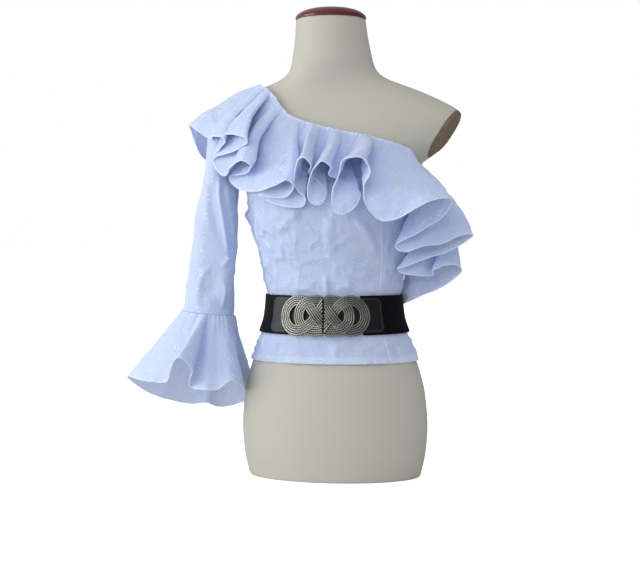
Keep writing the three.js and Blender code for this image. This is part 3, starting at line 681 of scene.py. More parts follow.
def silver_material():
    """Antique silver, bright on the crowns of the cords and near black between them, as tarnish and as
    painted shade in the hollows.
    """
    material, tree, shader = new_material("antique_silver", Metallic=1.0)
    metal = placed(tree, MOTTLE, Place=object_place(tree), Scale=260.0, Detail=4.0,
                   Dark=(0.50, 0.49, 0.43), Light=(0.96, 0.95, 0.86))
    # The crown share paints the cords' sides and undersides and the strips under them dark, as tarnish and
    # painted shade.
    tarnish_and_shade = math_node(tree, "MULTIPLY_ADD", kept_number(tree, "crown"), 1.5, -0.05, clamp=True)
    tone = colour_mix(tree, tarnish_and_shade, (0.02, 0.019, 0.017), metal["Tone"])
    tree.links.new(tone, shader.inputs["Base Color"])
    tree.links.new(math_node(tree, "MULTIPLY_ADD", metal["Amount"], -0.2, 0.5), shader.inputs["Roughness"])
    return material


COTTON = cotton_material()
CREAM = plain_material(
    "cream_form", 6.0, 3.0, (0.485, 0.475, 0.405), (0.525, 0.515, 0.445),
    grain=(900.0, 2.0, 0.12), Roughness=0.6)
# The shoulder boards are painted brown as the shade on the form's flat armhole ends, which are cream.
BOARD_SHADE_BROWN = plain_material(
    "board_painted_shade", 40.0, 5.0, (0.15, 0.105, 0.065), (0.26, 0.19, 0.12),
    grain=(700.0, 3.0, 0.15), Roughness=0.7)
LACQUER = plain_material(
    "dark_red_lacquer", 30.0, 4.0, (0.075, 0.008, 0.008), (0.16, 0.02, 0.018),
    Roughness=0.25, Coat_Weight=0.8, Coat_Roughness=0.08)
THREAD = plain_material("grey_thread", 1200.0, 2.0, (0.08, 0.08, 0.09), (0.2, 0.2, 0.21), Roughness=0.6)
ELASTIC = elastic_material()
LEATHER = leather_material()
SILVER = silver_material()


def finish_piece(piece, material, slot, *nodes):
    piece.data.materials.clear()
    piece.data.materials.append(material)
    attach(piece, "root")
    if nodes:
        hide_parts(*nodes)


# ---- The dress form ----


def torso(name):
    """The whole form as a smooth stack of rings, with a softly rounded foot and neck edge."""
    heights = np.concatenate([[0, 0.7, 2, 4], np.linspace(8, NECK_TOP - 3, 150), [NECK_TOP - 1, NECK_TOP]])
    turns = np.linspace(0, 360, 161)[:-1]
    foot = 1 - 0.012 * np.clip(1 - heights / 4, 0, 1) ** 2
    neck = 1 - 0.02 * np.clip((heights - NECK_TOP + 3) / 3, 0, 1) ** 2
    rings = ring_point(turns[None, :], heights[:, None], (foot * neck)[:, None])
    return mesh_piece(name, rings.reshape(-1, 3), tube_faces(*rings.shape[:2]))


def dress_form():
    """The body with its two arm stumps cut flat, and a board over each, painted brown as the shade on the
    flat ends.
    """
    body = torso("dress_form_body")
    for side in (-1, 1):
        carve(body, arm_block(side, 0, ARM_CUT))
    smooth(body, 35)
    finish_piece(body, CREAM, "form", "form_torso")
    for side, word in SIDES:
        plate = torso(f"shoulder_board_{word}")
        carve(plate, arm_block(side, SEAM, SEAM + PLATE_WALL), "INTERSECT")
        round_edges(plate, 0.8, 2, 50)
        smooth(plate, 40)
        finish_piece(plate, BOARD_SHADE_BROWN, "arm_plate", f"arm_plate_{word}")


# The dome of the neck's cap, as shares of the rim's radius and of the dome's height.
CAP_STEPS = table("radius rise", [
    (0.975, 0.16), (0.93, 0.32), (0.86, 0.5), (0.75, 0.68), (0.6, 0.83), (0.4, 0.94), (0.18, 0.99),
])


def neck_cap():
    """A thin lacquered rim under a low dome."""
    side, front, _, middle = (float(x) for x in ring_at(NECK_TOP))
    low = NECK_TOP + SEAM
    bpy.ops.object.select_all(action="DESELECT")
    bpy.ops.mesh.primitive_cylinder_add(vertices=96, radius=CAP_LIP, depth=1, location=(0, 0, 0.5))
    cap = bpy.context.object
    cap.name = "neck_cap_lacquered"
    bpy.ops.object.transform_apply()
    bpy.ops.object.mode_set(mode="EDIT")
    bpy.ops.mesh.select_all(action="DESELECT")
    bpy.ops.object.mode_set(mode="OBJECT")
    for face in cap.data.polygons:
        face.select = face.normal.z > 0.9
    bpy.ops.object.mode_set(mode="EDIT")
    size, height = 1.0, 0.0
    for radius, rise in each(CAP_STEPS, "radius rise"):
        bpy.ops.mesh.extrude_region_move()
        bpy.ops.transform.translate(value=(0, 0, (rise - height) * CAP_DOME / CAP_WALL))
        bpy.ops.transform.resize(value=(radius / size, radius / size, 1), center_override=(0, 0, 0))
        size, height = radius, rise
    bpy.ops.object.mode_set(mode="OBJECT")
    cap.data.transform(Matrix.Translation((0, middle * MM, low * MM))
                       @ Matrix.Diagonal((side * MM, front * MM, CAP_WALL * MM, 1)))
    round_edges(cap, 0.9, 3, 40)
    smooth(cap, 50)
    finish_piece(cap, LACQUER, "neck_cap", "neck_cap")


# ---- The bodice ----

NECKLINE = table("turn z", [
    (-90, 658), (-70, 656.5), (-54, 652.5), (-45, 649.5), (-40, 646.5), (-35, 642), (-30, 636),
    (-26, 629), (-22, 619.5), (-15, 602), (0, 583), (17, 570), (35, 558), (49, 549), (59, 538),
    (78, 522), (90, 505), (105, 478), (120, 466), (140, 480), (160, 511), (180, 547), (205, 592),
    (230, 628), (250, 649), (270, 658),
])
PRINCESS = table("z left right", [
    (HEM_HEIGHT, 47, -60), (300, 48, -62), (370, 45, -59), (432, 41, -58), (500, 37, -50), (600, 34, -38),
])
NECK_DROP, ARMHOLE_EASE = 1.5, 2.0
ROUND = 2.3          # millimetres of bodice for each degree of turn
PANEL_INSET = 0.03   # degrees from a panel's side to its seam
PUFF_OUT, PUFF_ABOVE, PUFF_SPAN = 2.6, 12, 13
SEAM_SUNK, SEAM_RIDGE, SEAM_FOLDED, SEAM_SOFT = 0.75, 0.35, 4, 1.6
LOWEST = -1.2        # how far cloth may sink below its even place before it meets the form

# Folds of the bodice: from one place to another, in millimetres round from the front and
# millimetres of height. Height is how far a ridge stands out, or a trough sinks if negative.
BODICE_FOLDS = table("x0 y0 x1 y1 bow width height", [
    ("waist pucker", 10, 300, 2, 341, 2, 4.5, 5.0),
    ("pucker, right side", -3, 308, -9, 338, 2, 7, -3.2),
    ("pucker, left side", 20, 306, 14, 335, -2, 5, -1.6),
    ("under the left bust", 52, 438, 94, 374, 5, 7, 4.4),
    ("hollow beside it", 40, 418, 76, 358, 5, 11, -2.2),
    ("middle ridge", 10, 440, 12, 384, 0, 8, 2.4),
    ("slant from the right", -36, 444, -78, 406, -3, 6, 3.8),
    ("slant below it", -52, 424, -100, 378, -5, 9, -2.2),
    ("right side 1", -150, 434, -138, 352, 4, 5, 3.4),
    ("right side 2", -126, 444, -136, 398, -3, 4, 3.0),
    ("right side 3", -118, 394, -138, 345, 5, 5, 3.4),
    ("right side 4", -96, 440, -122, 408, 3, 5, 3.2),
    ("right side 5", -142, 346, -128, 310, -3, 5, 2.8),
    ("right side 6", -104, 360, -116, 312, 4, 6, 2.8),
    ("right side 7", -84, 330, -70, 310, 0, 5, 1.6),
    ("across the waist 1", 20, 318, 58, 326, 3, 5, 1.6),
    ("across the waist 2", 70, 322, 104, 316, -2, 5, 1.8),
    ("across the waist 3", -62, 318, -26, 324, -2, 5, 1.5),
    ("underarm bulge", -182, 456, -188, 424, 0, 9, 5.5),
    ("left side 1", 118, 352, 106, 306, 5, 8, 2.2),
    ("left side 2", 136, 348, 128, 306, -4, 9, 2.0),
    ("left side 3", 96, 335, 92, 306, 2, 6, 1.4),
    ("underarm right", -190, 470, -170, 410, 8, 9, 3.0),
    ("underarm right 2", -206, 450, -196, 380, -6, 8, 2.0),
    ("underarm left", 200, 440, 190, 370, 6, 9, 2.0),
    ("back waist 1", 300, 306, 308, 362, -4, 8, 2.4),
    ("back waist 2", 352, 306, 346, 350, 5, 7, 2.0),
    ("back waist 3", 404, 306, 400, 372, 5, 8, 2.6),
    ("back waist 4", 458, 306, 470, 355, -5, 7, 2.2),
    ("back waist 5", 520, 306, 524, 372, 4, 8, 2.3),
    ("back slant 1", 440, 470, 520, 420, 8, 10, 1.8),
    ("back slant 2", 320, 440, 380, 400, -6, 11, 1.6),
    ("back slant 3", 420, 540, 500, 560, 6, 10, 1.8),
    ("tail 1", -70, 236, -84, 200, 3, 9, 2.0),
    ("tail 2", 20, 236, 28, 200, -3, 10, 1.6),
    ("tail 3", 110, 236, 124, 200, 3, 9, 2.2),
    ("tail 4", 210, 236, 224, 200, 3, 9, 2.2),
    ("tail 5", 330, 236, 322, 200, -3, 10, 2.2),
    ("tail 6", 430, 236, 440, 200, 3, 9, 2.0),
    ("tail 7", 540, 236, 550, 200, 3, 9, 2.0),
])


def neckline(turn):
    return read(NECKLINE, "turn", "z", turn)


def princess(side):
    """The turn of a princess seam at a height."""
    return lambda z: read(PRINCESS, "z", side, z)


def side_seam(turn):
    """A seam that runs straight up one side."""
    return lambda z: np.full_like(z, turn)


def bodice_gap(z):
    return BODICE_GAP + SHOULDER_EASE * smooth_step(z, SHOULDER_FROM, SHOULDER_TO)


def bodice_panel(name, node_name, left, right, across, down, armhole=False):
    """A panel between two edges, each a turn that depends on the height. Its sides dip into the
    seams, its lower edge is turned up, and its folds stand out from the form."""
    u, low = np.meshgrid(np.linspace(0, 1, across), hem_rows(down, last=0.035, inside=8)[::-1])
    z = np.full_like(u, HEM_HEIGHT)
    for _ in range(6):   # the turn depends on the height and the height on the turn
        turn = mix(left(z) + PANEL_INSET, right(z) - PANEL_INSET, u)
        z = mix(neckline(turn) - NECK_DROP, HEM_HEIGHT, low)
    middle = skin(turn, z, bodice_gap(z) + BODICE_WALL / 2)
    x = turn * ROUND
    fold = creases(x, z, BODICE_FOLDS) + creases(x - 360 * ROUND, z, BODICE_FOLDS)
    # The wearer's right side is looser. The belt holds the cloth flat, and it puffs out above.
    loose = 1 + 0.9 * smooth_step(-turn, 20, 50) * (1 - smooth_step(-turn, 80, 110))
    soft = 0.9 * lumps(middle, 34, 3) + loose * (1.9 * crumple(middle, 27, 4) + 0.9 * crumple(middle, 13, 6))
    free = smooth_step(z, BELT_HIGH - 3, BELT_HIGH + 16) + (1 - smooth_step(z, BELT_LOW - 14, BELT_LOW - 2))
    puff = PUFF_OUT * np.exp(-(((z - BELT_HIGH - PUFF_ABOVE) / PUFF_SPAN) ** 2))
    puff = puff * (0.6 + 0.6 * lumps(middle, 30, 5))
    # Each side sinks into its seam, beside a low ridge where the cloth is folded under.
    edge = np.minimum(turn - left(z), right(z) - turn) * ROUND
    sunk = SEAM_SUNK * np.exp(-((edge / SEAM_SOFT) ** 2))
    sunk = sunk - SEAM_RIDGE * np.exp(-(((edge - SEAM_FOLDED) / SEAM_SOFT) ** 2))
    out = np.maximum((fold + soft + 0.5) * free + puff * free, LOWEST) - sunk
    middle = move_out(middle, out)
    wall, turned_up = rolled(middle[::-1], thin=0.8, thick=1.5, deep=12)
    seam = 0.9 * (1 - smooth_step(edge[::-1], 2.2, 3.6)) * smooth_step(edge[::-1], 0.5, 1.2)
    piece = shell(name, middle[::-1], wall, doubled=np.maximum(seam, 0.5 * turned_up))
    if armhole:
        carve(piece, arm_block(-1, -ARMHOLE_EASE, ARM_CUT))
        smooth(piece, 60)
    finish_piece(piece, COTTON, "cotton", node_name)


def bodice():
    bodice_panel("bodice_front_centre", "front_center", princess("right"), princess("left"),
                 across=160, down=190)
    bodice_panel("bodice_side_left", "front_side_left", princess("left"), side_seam(90),
                 across=64, down=140)
    bodice_panel("bodice_side_right", "front_side_right", side_seam(-90), princess("right"),
                 across=56, down=170, armhole=True)
    bodice_panel("bodice_back", "back_panel", side_seam(90), side_seam(270),
                 across=170, down=140, armhole=True)


# ---- The neck flounce ----

FRILL = table("turn x y z", [
    ("shoulder", -90, -256, 6, 599), ("A out", -80, -234, -28, 587), ("A in", -68, -205, -44, 570),
    ("A2 left", -60, -193, -68, 573), ("A2 out", -54, -175, -84, 570),
    ("A2 right", -50, -169, -86, 562), ("A2 return", -49.4, -185, -70, 547),
    ("A2 back", -49, -196, -56, 541), ("B start", -48.6, -186, -54, 562),
    ("B left", -47.6, -177, -72, 572), ("B upper", -45, -159, -94, 574),
    ("B mid", -42, -135, -118, 569), ("B out", -39.4, -123, -130, 565),
    ("B right", -38, -120, -130, 559), ("B return", -36.9, -136, -110, 551),
    ("B back", -36, -164, -84, 543), ("B in", -35, -193, -66, 536), ("C in", -33.4, -195, -62, 529),
    ("C low", -31, -186, -70, 514), ("C left", -28, -168, -88, 506), ("C upper", -25, -151, -114, 521),
    ("C out", -22.5, -127, -139, 528), ("C right", -20.8, -111, -142, 519),
    ("C return", -20, -125, -118, 508), ("C back", -19.4, -151, -88, 506),
    ("C end", -18.8, -165, -74, 502), ("D in", -18.1, -157, -76, 491), ("D low", -17, -135, -98, 481),
    ("D mid", -15.4, -92, -146, 479), ("D rise", -13.8, -65, -163, 487),
    ("D out", -12.5, -46, -169, 495), ("D right", -11.5, -36, -164, 486),
    ("D return", -10.9, -50, -148, 469), ("D back", -10.3, -79, -139, 468),
    ("E in", -9.6, -104, -128, 472), ("E low", -9, -85, -131, 461), ("E foot", -8.4, -58, -135, 453),
    ("E turn", -7.6, -26, -139, 453), ("E back", -7, -20, -145, 466), ("E wall", -6.4, -34, -153, 480),
    ("E left", -5.9, -34, -170, 508), ("E out", -4.8, -19, -184, 530), ("E right", -3.2, -5, -178, 518),
    ("F in", -1.9, -12, -158, 506), ("F behind", -0.7, -2, -144, 494), ("F turn", 0.4, 14, -144, 476),
    ("F foot", 1.2, 5, -149, 456), ("F low", 1.9, -11, -153, 459), ("F wall", 2.6, -14, -161, 481),
    ("F left", 3.4, -3, -176, 512), ("F out", 5, 16, -187, 523), ("F right", 6.8, 27, -179, 514),
    ("G in", 8.6, 20, -159, 503), ("G behind", 10.6, 40, -145, 495), ("G turn", 12.6, 69, -147, 473),
    ("G under", 13.6, 59, -151, 450), ("G foot", 14.4, 37, -154, 440), ("G low", 15, 26, -158, 447),
    ("G wall", 15.7, 26, -165, 471), ("G left", 16.5, 38, -177, 503), ("G rise", 17.4, 47, -188, 525),
    ("G out", 18.6, 64, -193, 530), ("G top", 19.8, 79, -190, 526), ("G right", 20.8, 90, -181, 506),
    ("G side", 21.8, 77, -168, 483), ("H in", 24, 79, -156, 454), ("H foot", 28, 99, -150, 431),
    ("H mid", 34, 123, -154, 431), ("H out", 46, 169, -158, 455), ("H edge", 56, 196, -140, 465),
    ("H corner", 63, 212, -114, 462), ("H under", 67, 190, -100, 434), ("H back", 70, 152, -92, 410),
    ("tier 2 in", 73, 115, -82, 388), ("tier 2 low", 75, 131, -80, 380),
    ("tier 2 mid", 77.5, 162, -80, 390), ("tier 2 rise", 80, 189, -68, 393),
    ("tier 2 out", 83, 218, -54, 407), ("tier 2 corner", 86, 238, -32, 407),
    ("tier 2 under", 89, 204, -44, 383), ("tier 2 back", 92, 161, -56, 368),
    ("tier 3 in", 95, 118, -60, 352), ("tier 3 tip", 96.4, 116, -58, 353),
    ("tier 3 low", 97.4, 122, -52, 345), ("tier 3 mid", 98.6, 144, -46, 341),
    ("tier 3 tuck", 100, 170, -28, 341), ("tier 3 step", 101, 171, -42, 349),
    ("tier 3 rise", 102, 184, -36, 354), ("tier 3 up", 103, 194, -28, 358),
    ("tier 3 out", 104.5, 210, -14, 357), ("tier 3 corner", 106.4, 217, -4, 347),
    ("tier 3 under", 109, 175, 4, 316), ("tier 3 back", 112, 127, 12, 299),
    ("tier 3 end", 113.6, 120, 19, 294), ("side in", 116, 109.5, 50, 288),
    ("back 1 out", 120, 186, 84, 330), ("back 1 in", 129, 112, 100, 336),
    ("back 2 out", 139, 118, 160, 366), ("back 2 in", 150, 52, 124, 376),
    ("back 3 out", 160, 36, 176, 410), ("back 3 in", 170, -18, 134, 418),
    ("back 4 out", 181, -50, 178, 456), ("back 4 in", 192, -82, 134, 462),
    ("back 5 out", 204, -128, 166, 500), ("back 5 in", 216, -142, 118, 502),
    ("back 6 out", 229, -196, 128, 540), ("back 6 in", 241, -248, 90, 543),
    ("back 7 low", 249, -257, 62, 562), ("back 7 out", 258, -262, 42, 588),
])
# Where the flounce follows the body, 1, and where it spans straight from edge to edge, 0.
FRILL_HUG = table("turn hug", [
    (-90, 0.6), (-72, 0.55), (-60, 0.25), (-30, 0.25), (-12, 1), (40, 1), (56, 0.4), (72, 0.5),
    (92, 1), (215, 1), (232, 0.75), (252, 0.65), (270, 0.6),
])
FRILL_SPREAD, FRILL_LIFT_OFF, FRILL_JOIN, FRILL_SEAM = 1.3, 0.85, 93.5, 0.01
HEM_RIPPLE = 1.1     # how far the rolled hems wander, from their own stiffness
FINE_CLOTH, ROLLED_HEM, ROLLED_DEEP = 0.7, 2.1, 3.0     # walls of cloth and hem, depth of the hem


def hem_turns(rows, place):
    """The turn along the sewn edge that belongs to a place along the hem."""
    count = len(rows["turn"])
    ring = {"row": np.arange(count + 1.0), "turn": np.append(rows["turn"], rows["turn"][0] + 360)}
    return read(ring, "row", "turn", place)


def hem_points(rows, place):
    points = np.stack([rows["x"], rows["y"], rows["z"]], -1)
    return closed_curve(points, place)


def frill_surface(place, v):
    """The flounce's middle surface, from the neckline to the named points of its hem."""
    turn = hem_turns(FRILL, place)
    edge = neckline(turn)
    seat = BODICE_WALL + FRILL_GAP + FRILL_WALL / 2
    top = skin(turn, edge, bodice_gap(edge) + seat)
    end = hem_points(FRILL, place)
    top_turn, top_size = ring_of(top, LIFT_OUT)
    end_turn, end_size = ring_of(end, LIFT_OUT)
    top_turn = top_turn + 360 * np.round((turn - top_turn) / 360)
    end_turn = end_turn + 360 * np.round((turn - end_turn) / 360)
    v = v[:, None]
    hugging = ring_point(
        mix(top_turn, end_turn, v ** FRILL_SPREAD), mix(top[:, 2], end[:, 2], v),
        mix(top_size, end_size, v ** FRILL_LIFT_OFF) + FRILL_SWELL * np.sin(math.pi * v), LIFT_OUT)
    across = mix(ring_point(top_turn, top[:, 2], top_size, LIFT_OUT)[None], end[None], v[..., None])
    return mix(across, hugging, read(FRILL_HUG, "turn", "hug", turn)[None, :, None])


def evenly(start, end, count):
    """Places along the flounce that share out both its hem and its sewn edge."""
    place = np.linspace(start, end, 6000)
    turn = hem_turns(FRILL, place)
    edge = skin(turn, neckline(turn), 4.0)
    hem = np.linalg.norm(np.diff(hem_points(FRILL, place), axis=0), axis=1)
    sewn = np.linalg.norm(np.diff(edge, axis=0), axis=1)
    total = np.concatenate([[0], np.cumsum(hem + sewn)])
    return np.interp(np.linspace(0, total[-1], count), total, place)


def gathers(middle, seed, spacing, height, reach):
    """Uneven little pleats that start at the sewn edge and fade out."""
    run = run_of(middle[0])
    line = np.stack([run, 0 * run, 0 * run], -1)
    swing = np.sin(2 * math.pi * run / spacing + 2.2 * lumps(line, spacing * 2.3, seed))
    uneven = 0.65 + 0.45 * lumps(line, spacing * 1.4, seed + 1)
    return height * uneven * (0.5 + 0.5 * swing) * np.exp(-((fall_of(middle) / reach) ** 2))


def hem_ripple(middle, rows, size, seed):
    """How a rolled hem wanders, fading out up the cloth."""
    return HEM_RIPPLE * lumps(middle, size, seed) * smooth_step(rows, 0.55, 1)[:, None]


def frill(name, node_name, start, end, across, down):
    """One length of the flounce: gathered at the neckline, with a rolled hem that ripples."""
    place = evenly(start + FRILL_SEAM, end - FRILL_SEAM, across)
    rows = hem_rows(down, last=0.06, inside=8)
    middle = frill_surface(place, rows)
    fine = gathers(middle, seed=11, spacing=7, height=1.2, reach=16)
    fine += gathers(middle, seed=21, spacing=17, height=1.0, reach=45)
    soft = uneven_cloth(middle, 7, swell=(0.9, 30), large=(0.8, 19), small=(0.35, 10))
    ripple = hem_ripple(middle, rows, size=11, seed=12)
    middle = move_out(middle, fine + soft * smooth_step(fall_of(middle), 0, 60) + ripple)
    wall, doubled = rolled(middle, FINE_CLOTH, ROLLED_HEM, ROLLED_DEEP, top=1.5)
    piece = shell(name, middle, wall, doubled=doubled)
    finish_piece(piece, COTTON, "cotton", node_name)


# ---- The sleeve and its bell ----

SLEEVE = table("at x y z tilt lean across fore aft", [
    (0, -187.5, 2, 574, 59, 0.12, 58, 48, 52), (0.1, -191, 2, 541, 38, 0.06, 38, 52, 53),
    (0.2, -194, 1, 510, 14, 0, 30, 56, 57), (0.3, -198, -2, 481, 4, 0, 31, 58, 58),
    (0.45, -202, -4, 440, 2, 0, 35, 57, 57), (0.65, -207, -7, 384, 2, 0, 38, 54, 54),
    (0.83, -213, -10, 331, 3, 0, 40, 50, 50), (0.94, -215, -12, 296, 5, 0, 43, 46, 46),
    (1, -217, -14, 276, 6, 0, 44.5, 45, 45),
])
# Folds of the sleeve, in millimetres round it from its front and millimetres of height.
SLEEVE_FOLDS = table("x0 y0 x1 y1 bow width height", [
    ("long ridge", 10, 515, 50, 372, -2, 4.5, 4.6),
    ("trough beside it", -8, 505, 32, 385, -3, 9, -2.4),
    ("inner trough", 24, 505, 64, 395, 0, 8, -2.2),
    ("kink", 52, 372, 33, 355, 2, 5, 3.6),
    ("lower arc", 12, 358, -8, 294, -9, 6, 3.6),
    ("lower hollow", 26, 346, 12, 300, 0, 13, -3.0),
    ("short crease", 0, 318, 25, 316, 0, 2.5, -2.4),
    ("light ridge", 46, 326, 35, 282, 2, 4.5, 3.6),
    ("cuff ridge", -20, 302, 0, 286, 0, 5, 2.0),
    ("slant at the top", -34, 500, -10, 470, 3, 6, 1.6),
    ("slant below", -40, 440, -14, 400, 4, 8, 1.6),
    ("outer 1", -60, 470, -48, 420, 3, 8, 2.0),
    ("outer 2", -70, 400, -58, 350, 3, 8, 2.0),
    ("outer 3", -84, 350, -66, 310, 3, 7, 1.8),
    ("elbow back 1", 120, 420, 160, 395, 6, 8, 3.0),
    ("elbow back 2", 112, 395, 158, 372, 6, 8, 2.6),
    ("elbow back 3", 118, 370, 150, 352, 5, 7, 2.2),
    ("inner side 1", 70, 480, 84, 400, 4, 8, 2.4),
    ("inner side 2", 92, 400, 78, 330, -4, 8, 2.4),
    ("back long", 170, 500, 180, 430, 5, 9, 2.6),
    ("back low", 150, 345, 172, 295, -5, 8, 2.4),
])
SLEEVE_ROUND = 0.83  # millimetres of sleeve for each degree of turn
SLEEVE_FLAT, SLEEVE_SPREAD = 0.5, 0.12  # the hanging sleeve lies flat in front, towards the body


def sleeve_point(turn, at, inset):
    """A point on the sleeve, at a turn round it and a share of its length."""
    turn, at = np.broadcast_arrays(np.asarray(turn, float), np.asarray(at, float))
    value = {c: read(SLEEVE, "at", c, at) for c in "x y z tilt lean across fore aft".split()}
    tilt = np.radians(value["tilt"])
    sine, cosine = np.sin(np.radians(turn)), np.cos(np.radians(turn))
    hanging = smooth_step(at, 0.12, 0.3) * (1 - smooth_step(at, 0.88, 1.0)) * (sine > 0)
    across = (value["across"] - inset) * sine * (1 + SLEEVE_SPREAD * hanging)
    deep = np.where(cosine > 0, value["fore"], value["aft"]) - inset
    return np.stack([
        value["x"] + across * np.cos(tilt) + value["lean"] * deep * cosine,
        value["y"] - deep * (cosine + SLEEVE_FLAT * hanging * sine * sine),
        value["z"] - across * np.sin(tilt),
    ], -1)


def sleeve():
    turn, at = np.meshgrid(np.linspace(-180, 180, 161), np.linspace(0, 1, 130))
    middle = sleeve_point(turn, at, SLEEVE_WALL / 2)
    x, z, lap = turn * SLEEVE_ROUND, middle[..., 2], 360 * SLEEVE_ROUND
    fold = creases(x, z, SLEEVE_FOLDS) + creases(x - lap, z, SLEEVE_FOLDS)
    fold += creases(x + lap, z, SLEEVE_FOLDS)
    soft = uneven_cloth(middle, 13, swell=(1.0, 32), large=(0.8, 24), small=(0.3, 10))
    free = smooth_step(at, 0.16, 0.3) * (1 - smooth_step(at, 0.96, 1.0))
    middle = move_out(middle, (fold + soft) * free, ring=True)
    middle[:, -1] = middle[:, 0]
    piece = shell("sleeve_long_right", middle, 0.9, ring=True)
    finish_piece(piece, COTTON, "cotton", "sleeve_right")


BELL = table("turn x y z", [
    ("outer", -90, -364, -12, 161), ("front left", -50, -306, -72, 160),
    ("fold in", -4, -270, -88, 162), ("fold left", 2, -256, -116, 183),
    ("fold out", 7, -234, -138, 207), ("fold right", 12, -217, -124, 188),
    ("fold back", 17, -228, -88, 153), ("front", 24, -200, -98, 151), ("dip", 34, -182, -88, 150),
    ("front right", 50, -159, -88, 166), ("inner front", 70, -143, -56, 148),
    ("inner", 92, -168, 6, 142), ("inner back", 118, -148, 66, 128), ("back right", 146, -192, 94, 106),
    ("back", 168, -228, 104, 98), ("notch", 188, -246, 78, 108), ("back left", 210, -280, 100, 103),
    ("outer back", 240, -338, 52, 124),
])


def bell():
    place = np.linspace(0, len(BELL["turn"]), 289)
    v = hem_rows(56, last=0.05, inside=8)
    top = sleeve_point(hem_turns(BELL, place), 1.0, BELL_WALL / 2)
    top[:, 2] -= SEAM + BELL_WALL / 2
    middle = mix(top[None], hem_points(BELL, place % len(BELL["turn"]))[None], v[:, None, None])
    down = fall_of(middle)
    fine = gathers(middle, seed=31, spacing=8, height=1.8, reach=22)
    fine += gathers(middle, seed=41, spacing=18, height=1.8, reach=55)
    fine = fine * smooth_step(down, 0, 3)
    soft = uneven_cloth(middle, 17, swell=(1.1, 34), large=(0.7, 20), small=(0.3, 11))
    out = fine + soft * smooth_step(down, 0, 50) + hem_ripple(middle, v, size=13, seed=20)
    out[:, -1] = out[:, 0]
    middle = move_out(middle, out, ring=True)
    middle[:, -1] = middle[:, 0]
    wall, doubled = rolled(middle, FINE_CLOTH, ROLLED_HEM, ROLLED_DEEP)
    piece = shell("sleeve_bell_flounce", middle, wall, ring=True, doubled=doubled)
    finish_piece(piece, COTTON, "cotton", "sleeve_bell")


# ---- The belt ----

BELT_SEAT = BODICE_GAP + BODICE_WALL + BELT_GAP
TAB_SEAT = BELT_SEAT + BELT_WALL + TAB_GAP
KNOT_SEAT = TAB_SEAT + TAB_WALL + KNOT_GAP
BELT_MIDDLE = (BELT_LOW + BELT_HIGH) / 2
STITCH_INSET, STITCH_START, STITCH_PITCH, STITCH_LONG, STITCH_THICK = 3.2, 2.0, 3.6, 2.5, 0.38


def belt_turns():
    """Distance round the front at the middle of the belt, against the turn."""
    turns = np.linspace(0, 70, 281)
    return run_of(skin(turns, np.full_like(turns, BELT_MIDDLE), TAB_SEAT)), turns


BELT_ARCS, BELT_TURNS = belt_turns()


def on_belt(arc, rise, out):
    """A point off the form, by its distance round from the front's middle and up the belt."""
    arc = np.asarray(arc, float)
    turn = np.sign(arc) * np.interp(np.abs(arc), BELT_ARCS, BELT_TURNS)
    return skin(turn, BELT_MIDDLE + np.asarray(rise, float), out)


def belt_band():
    turn, z = np.meshgrid(np.linspace(BELT_END, 360 - BELT_END, 260), np.linspace(BELT_LOW, BELT_HIGH, 22))
    middle = skin(turn, z, BELT_SEAT + BELT_WALL / 2)
    middle = move_out(middle, 0.25 * lumps(middle, 40, 23))
    edge = np.minimum(z - BELT_LOW, BELT_HIGH - z)
    piece = shell("belt_elastic", middle, 1.3 + 0.9 * smooth_step(edge, 0, 3))
    finish_piece(piece, ELASTIC, "elastic", "belt_band")


def tab_outline(arc):
    """Half the height of a tab along its length, with rounded corners at its end."""
    half = (BELT_HIGH - BELT_LOW) / 2 - TAB_MARGIN
    into = np.maximum(0, arc - (TAB_END - TAB_CORNER))
    return half - TAB_CORNER + np.sqrt(np.maximum(0, TAB_CORNER ** 2 - into ** 2))


def belt_tab(side, word):
    straight = np.linspace(TAB_SPLIT, TAB_END - TAB_CORNER, 44)
    corner = TAB_END - TAB_CORNER + TAB_CORNER * np.sin(np.linspace(0, math.pi / 2, 14)[1:])
    arc, rise = np.meshgrid(np.concatenate([straight, corner]), np.linspace(-1, 1, 33))
    rise = rise * tab_outline(arc)
    edge = np.minimum(tab_outline(arc) - np.abs(rise), TAB_END - arc)
    edge[0] = edge[-1] = 0
    sewn_in = 0.25 * np.exp(-(((edge - STITCH_INSET) / 1.2) ** 2))
    middle = on_belt(side * arc, rise, TAB_SEAT + TAB_WALL / 2 - sewn_in)
    piece = shell(f"belt_tab_leather_{word}", middle, 1.0 + 0.6 * smooth_step(edge, 0, 1.2))
    finish_piece(piece, LEATHER, "leather", f"belt_tab_{word}")
    tab_stitches(side, word)


def stitch_line(place, half, radius, end):
    """A point on the line of stitches: along the upper edge, round the corner and down the end."""
    flat = end - radius - STITCH_START
    bend = math.pi / 2 * radius
    if place < flat:
        return STITCH_START + place, half
    if place < flat + bend:
        angle = (place - flat) / radius
        return STITCH_START + flat + radius * math.sin(angle), half - radius + radius * math.cos(angle)
    return end, half - radius - (place - flat - bend)


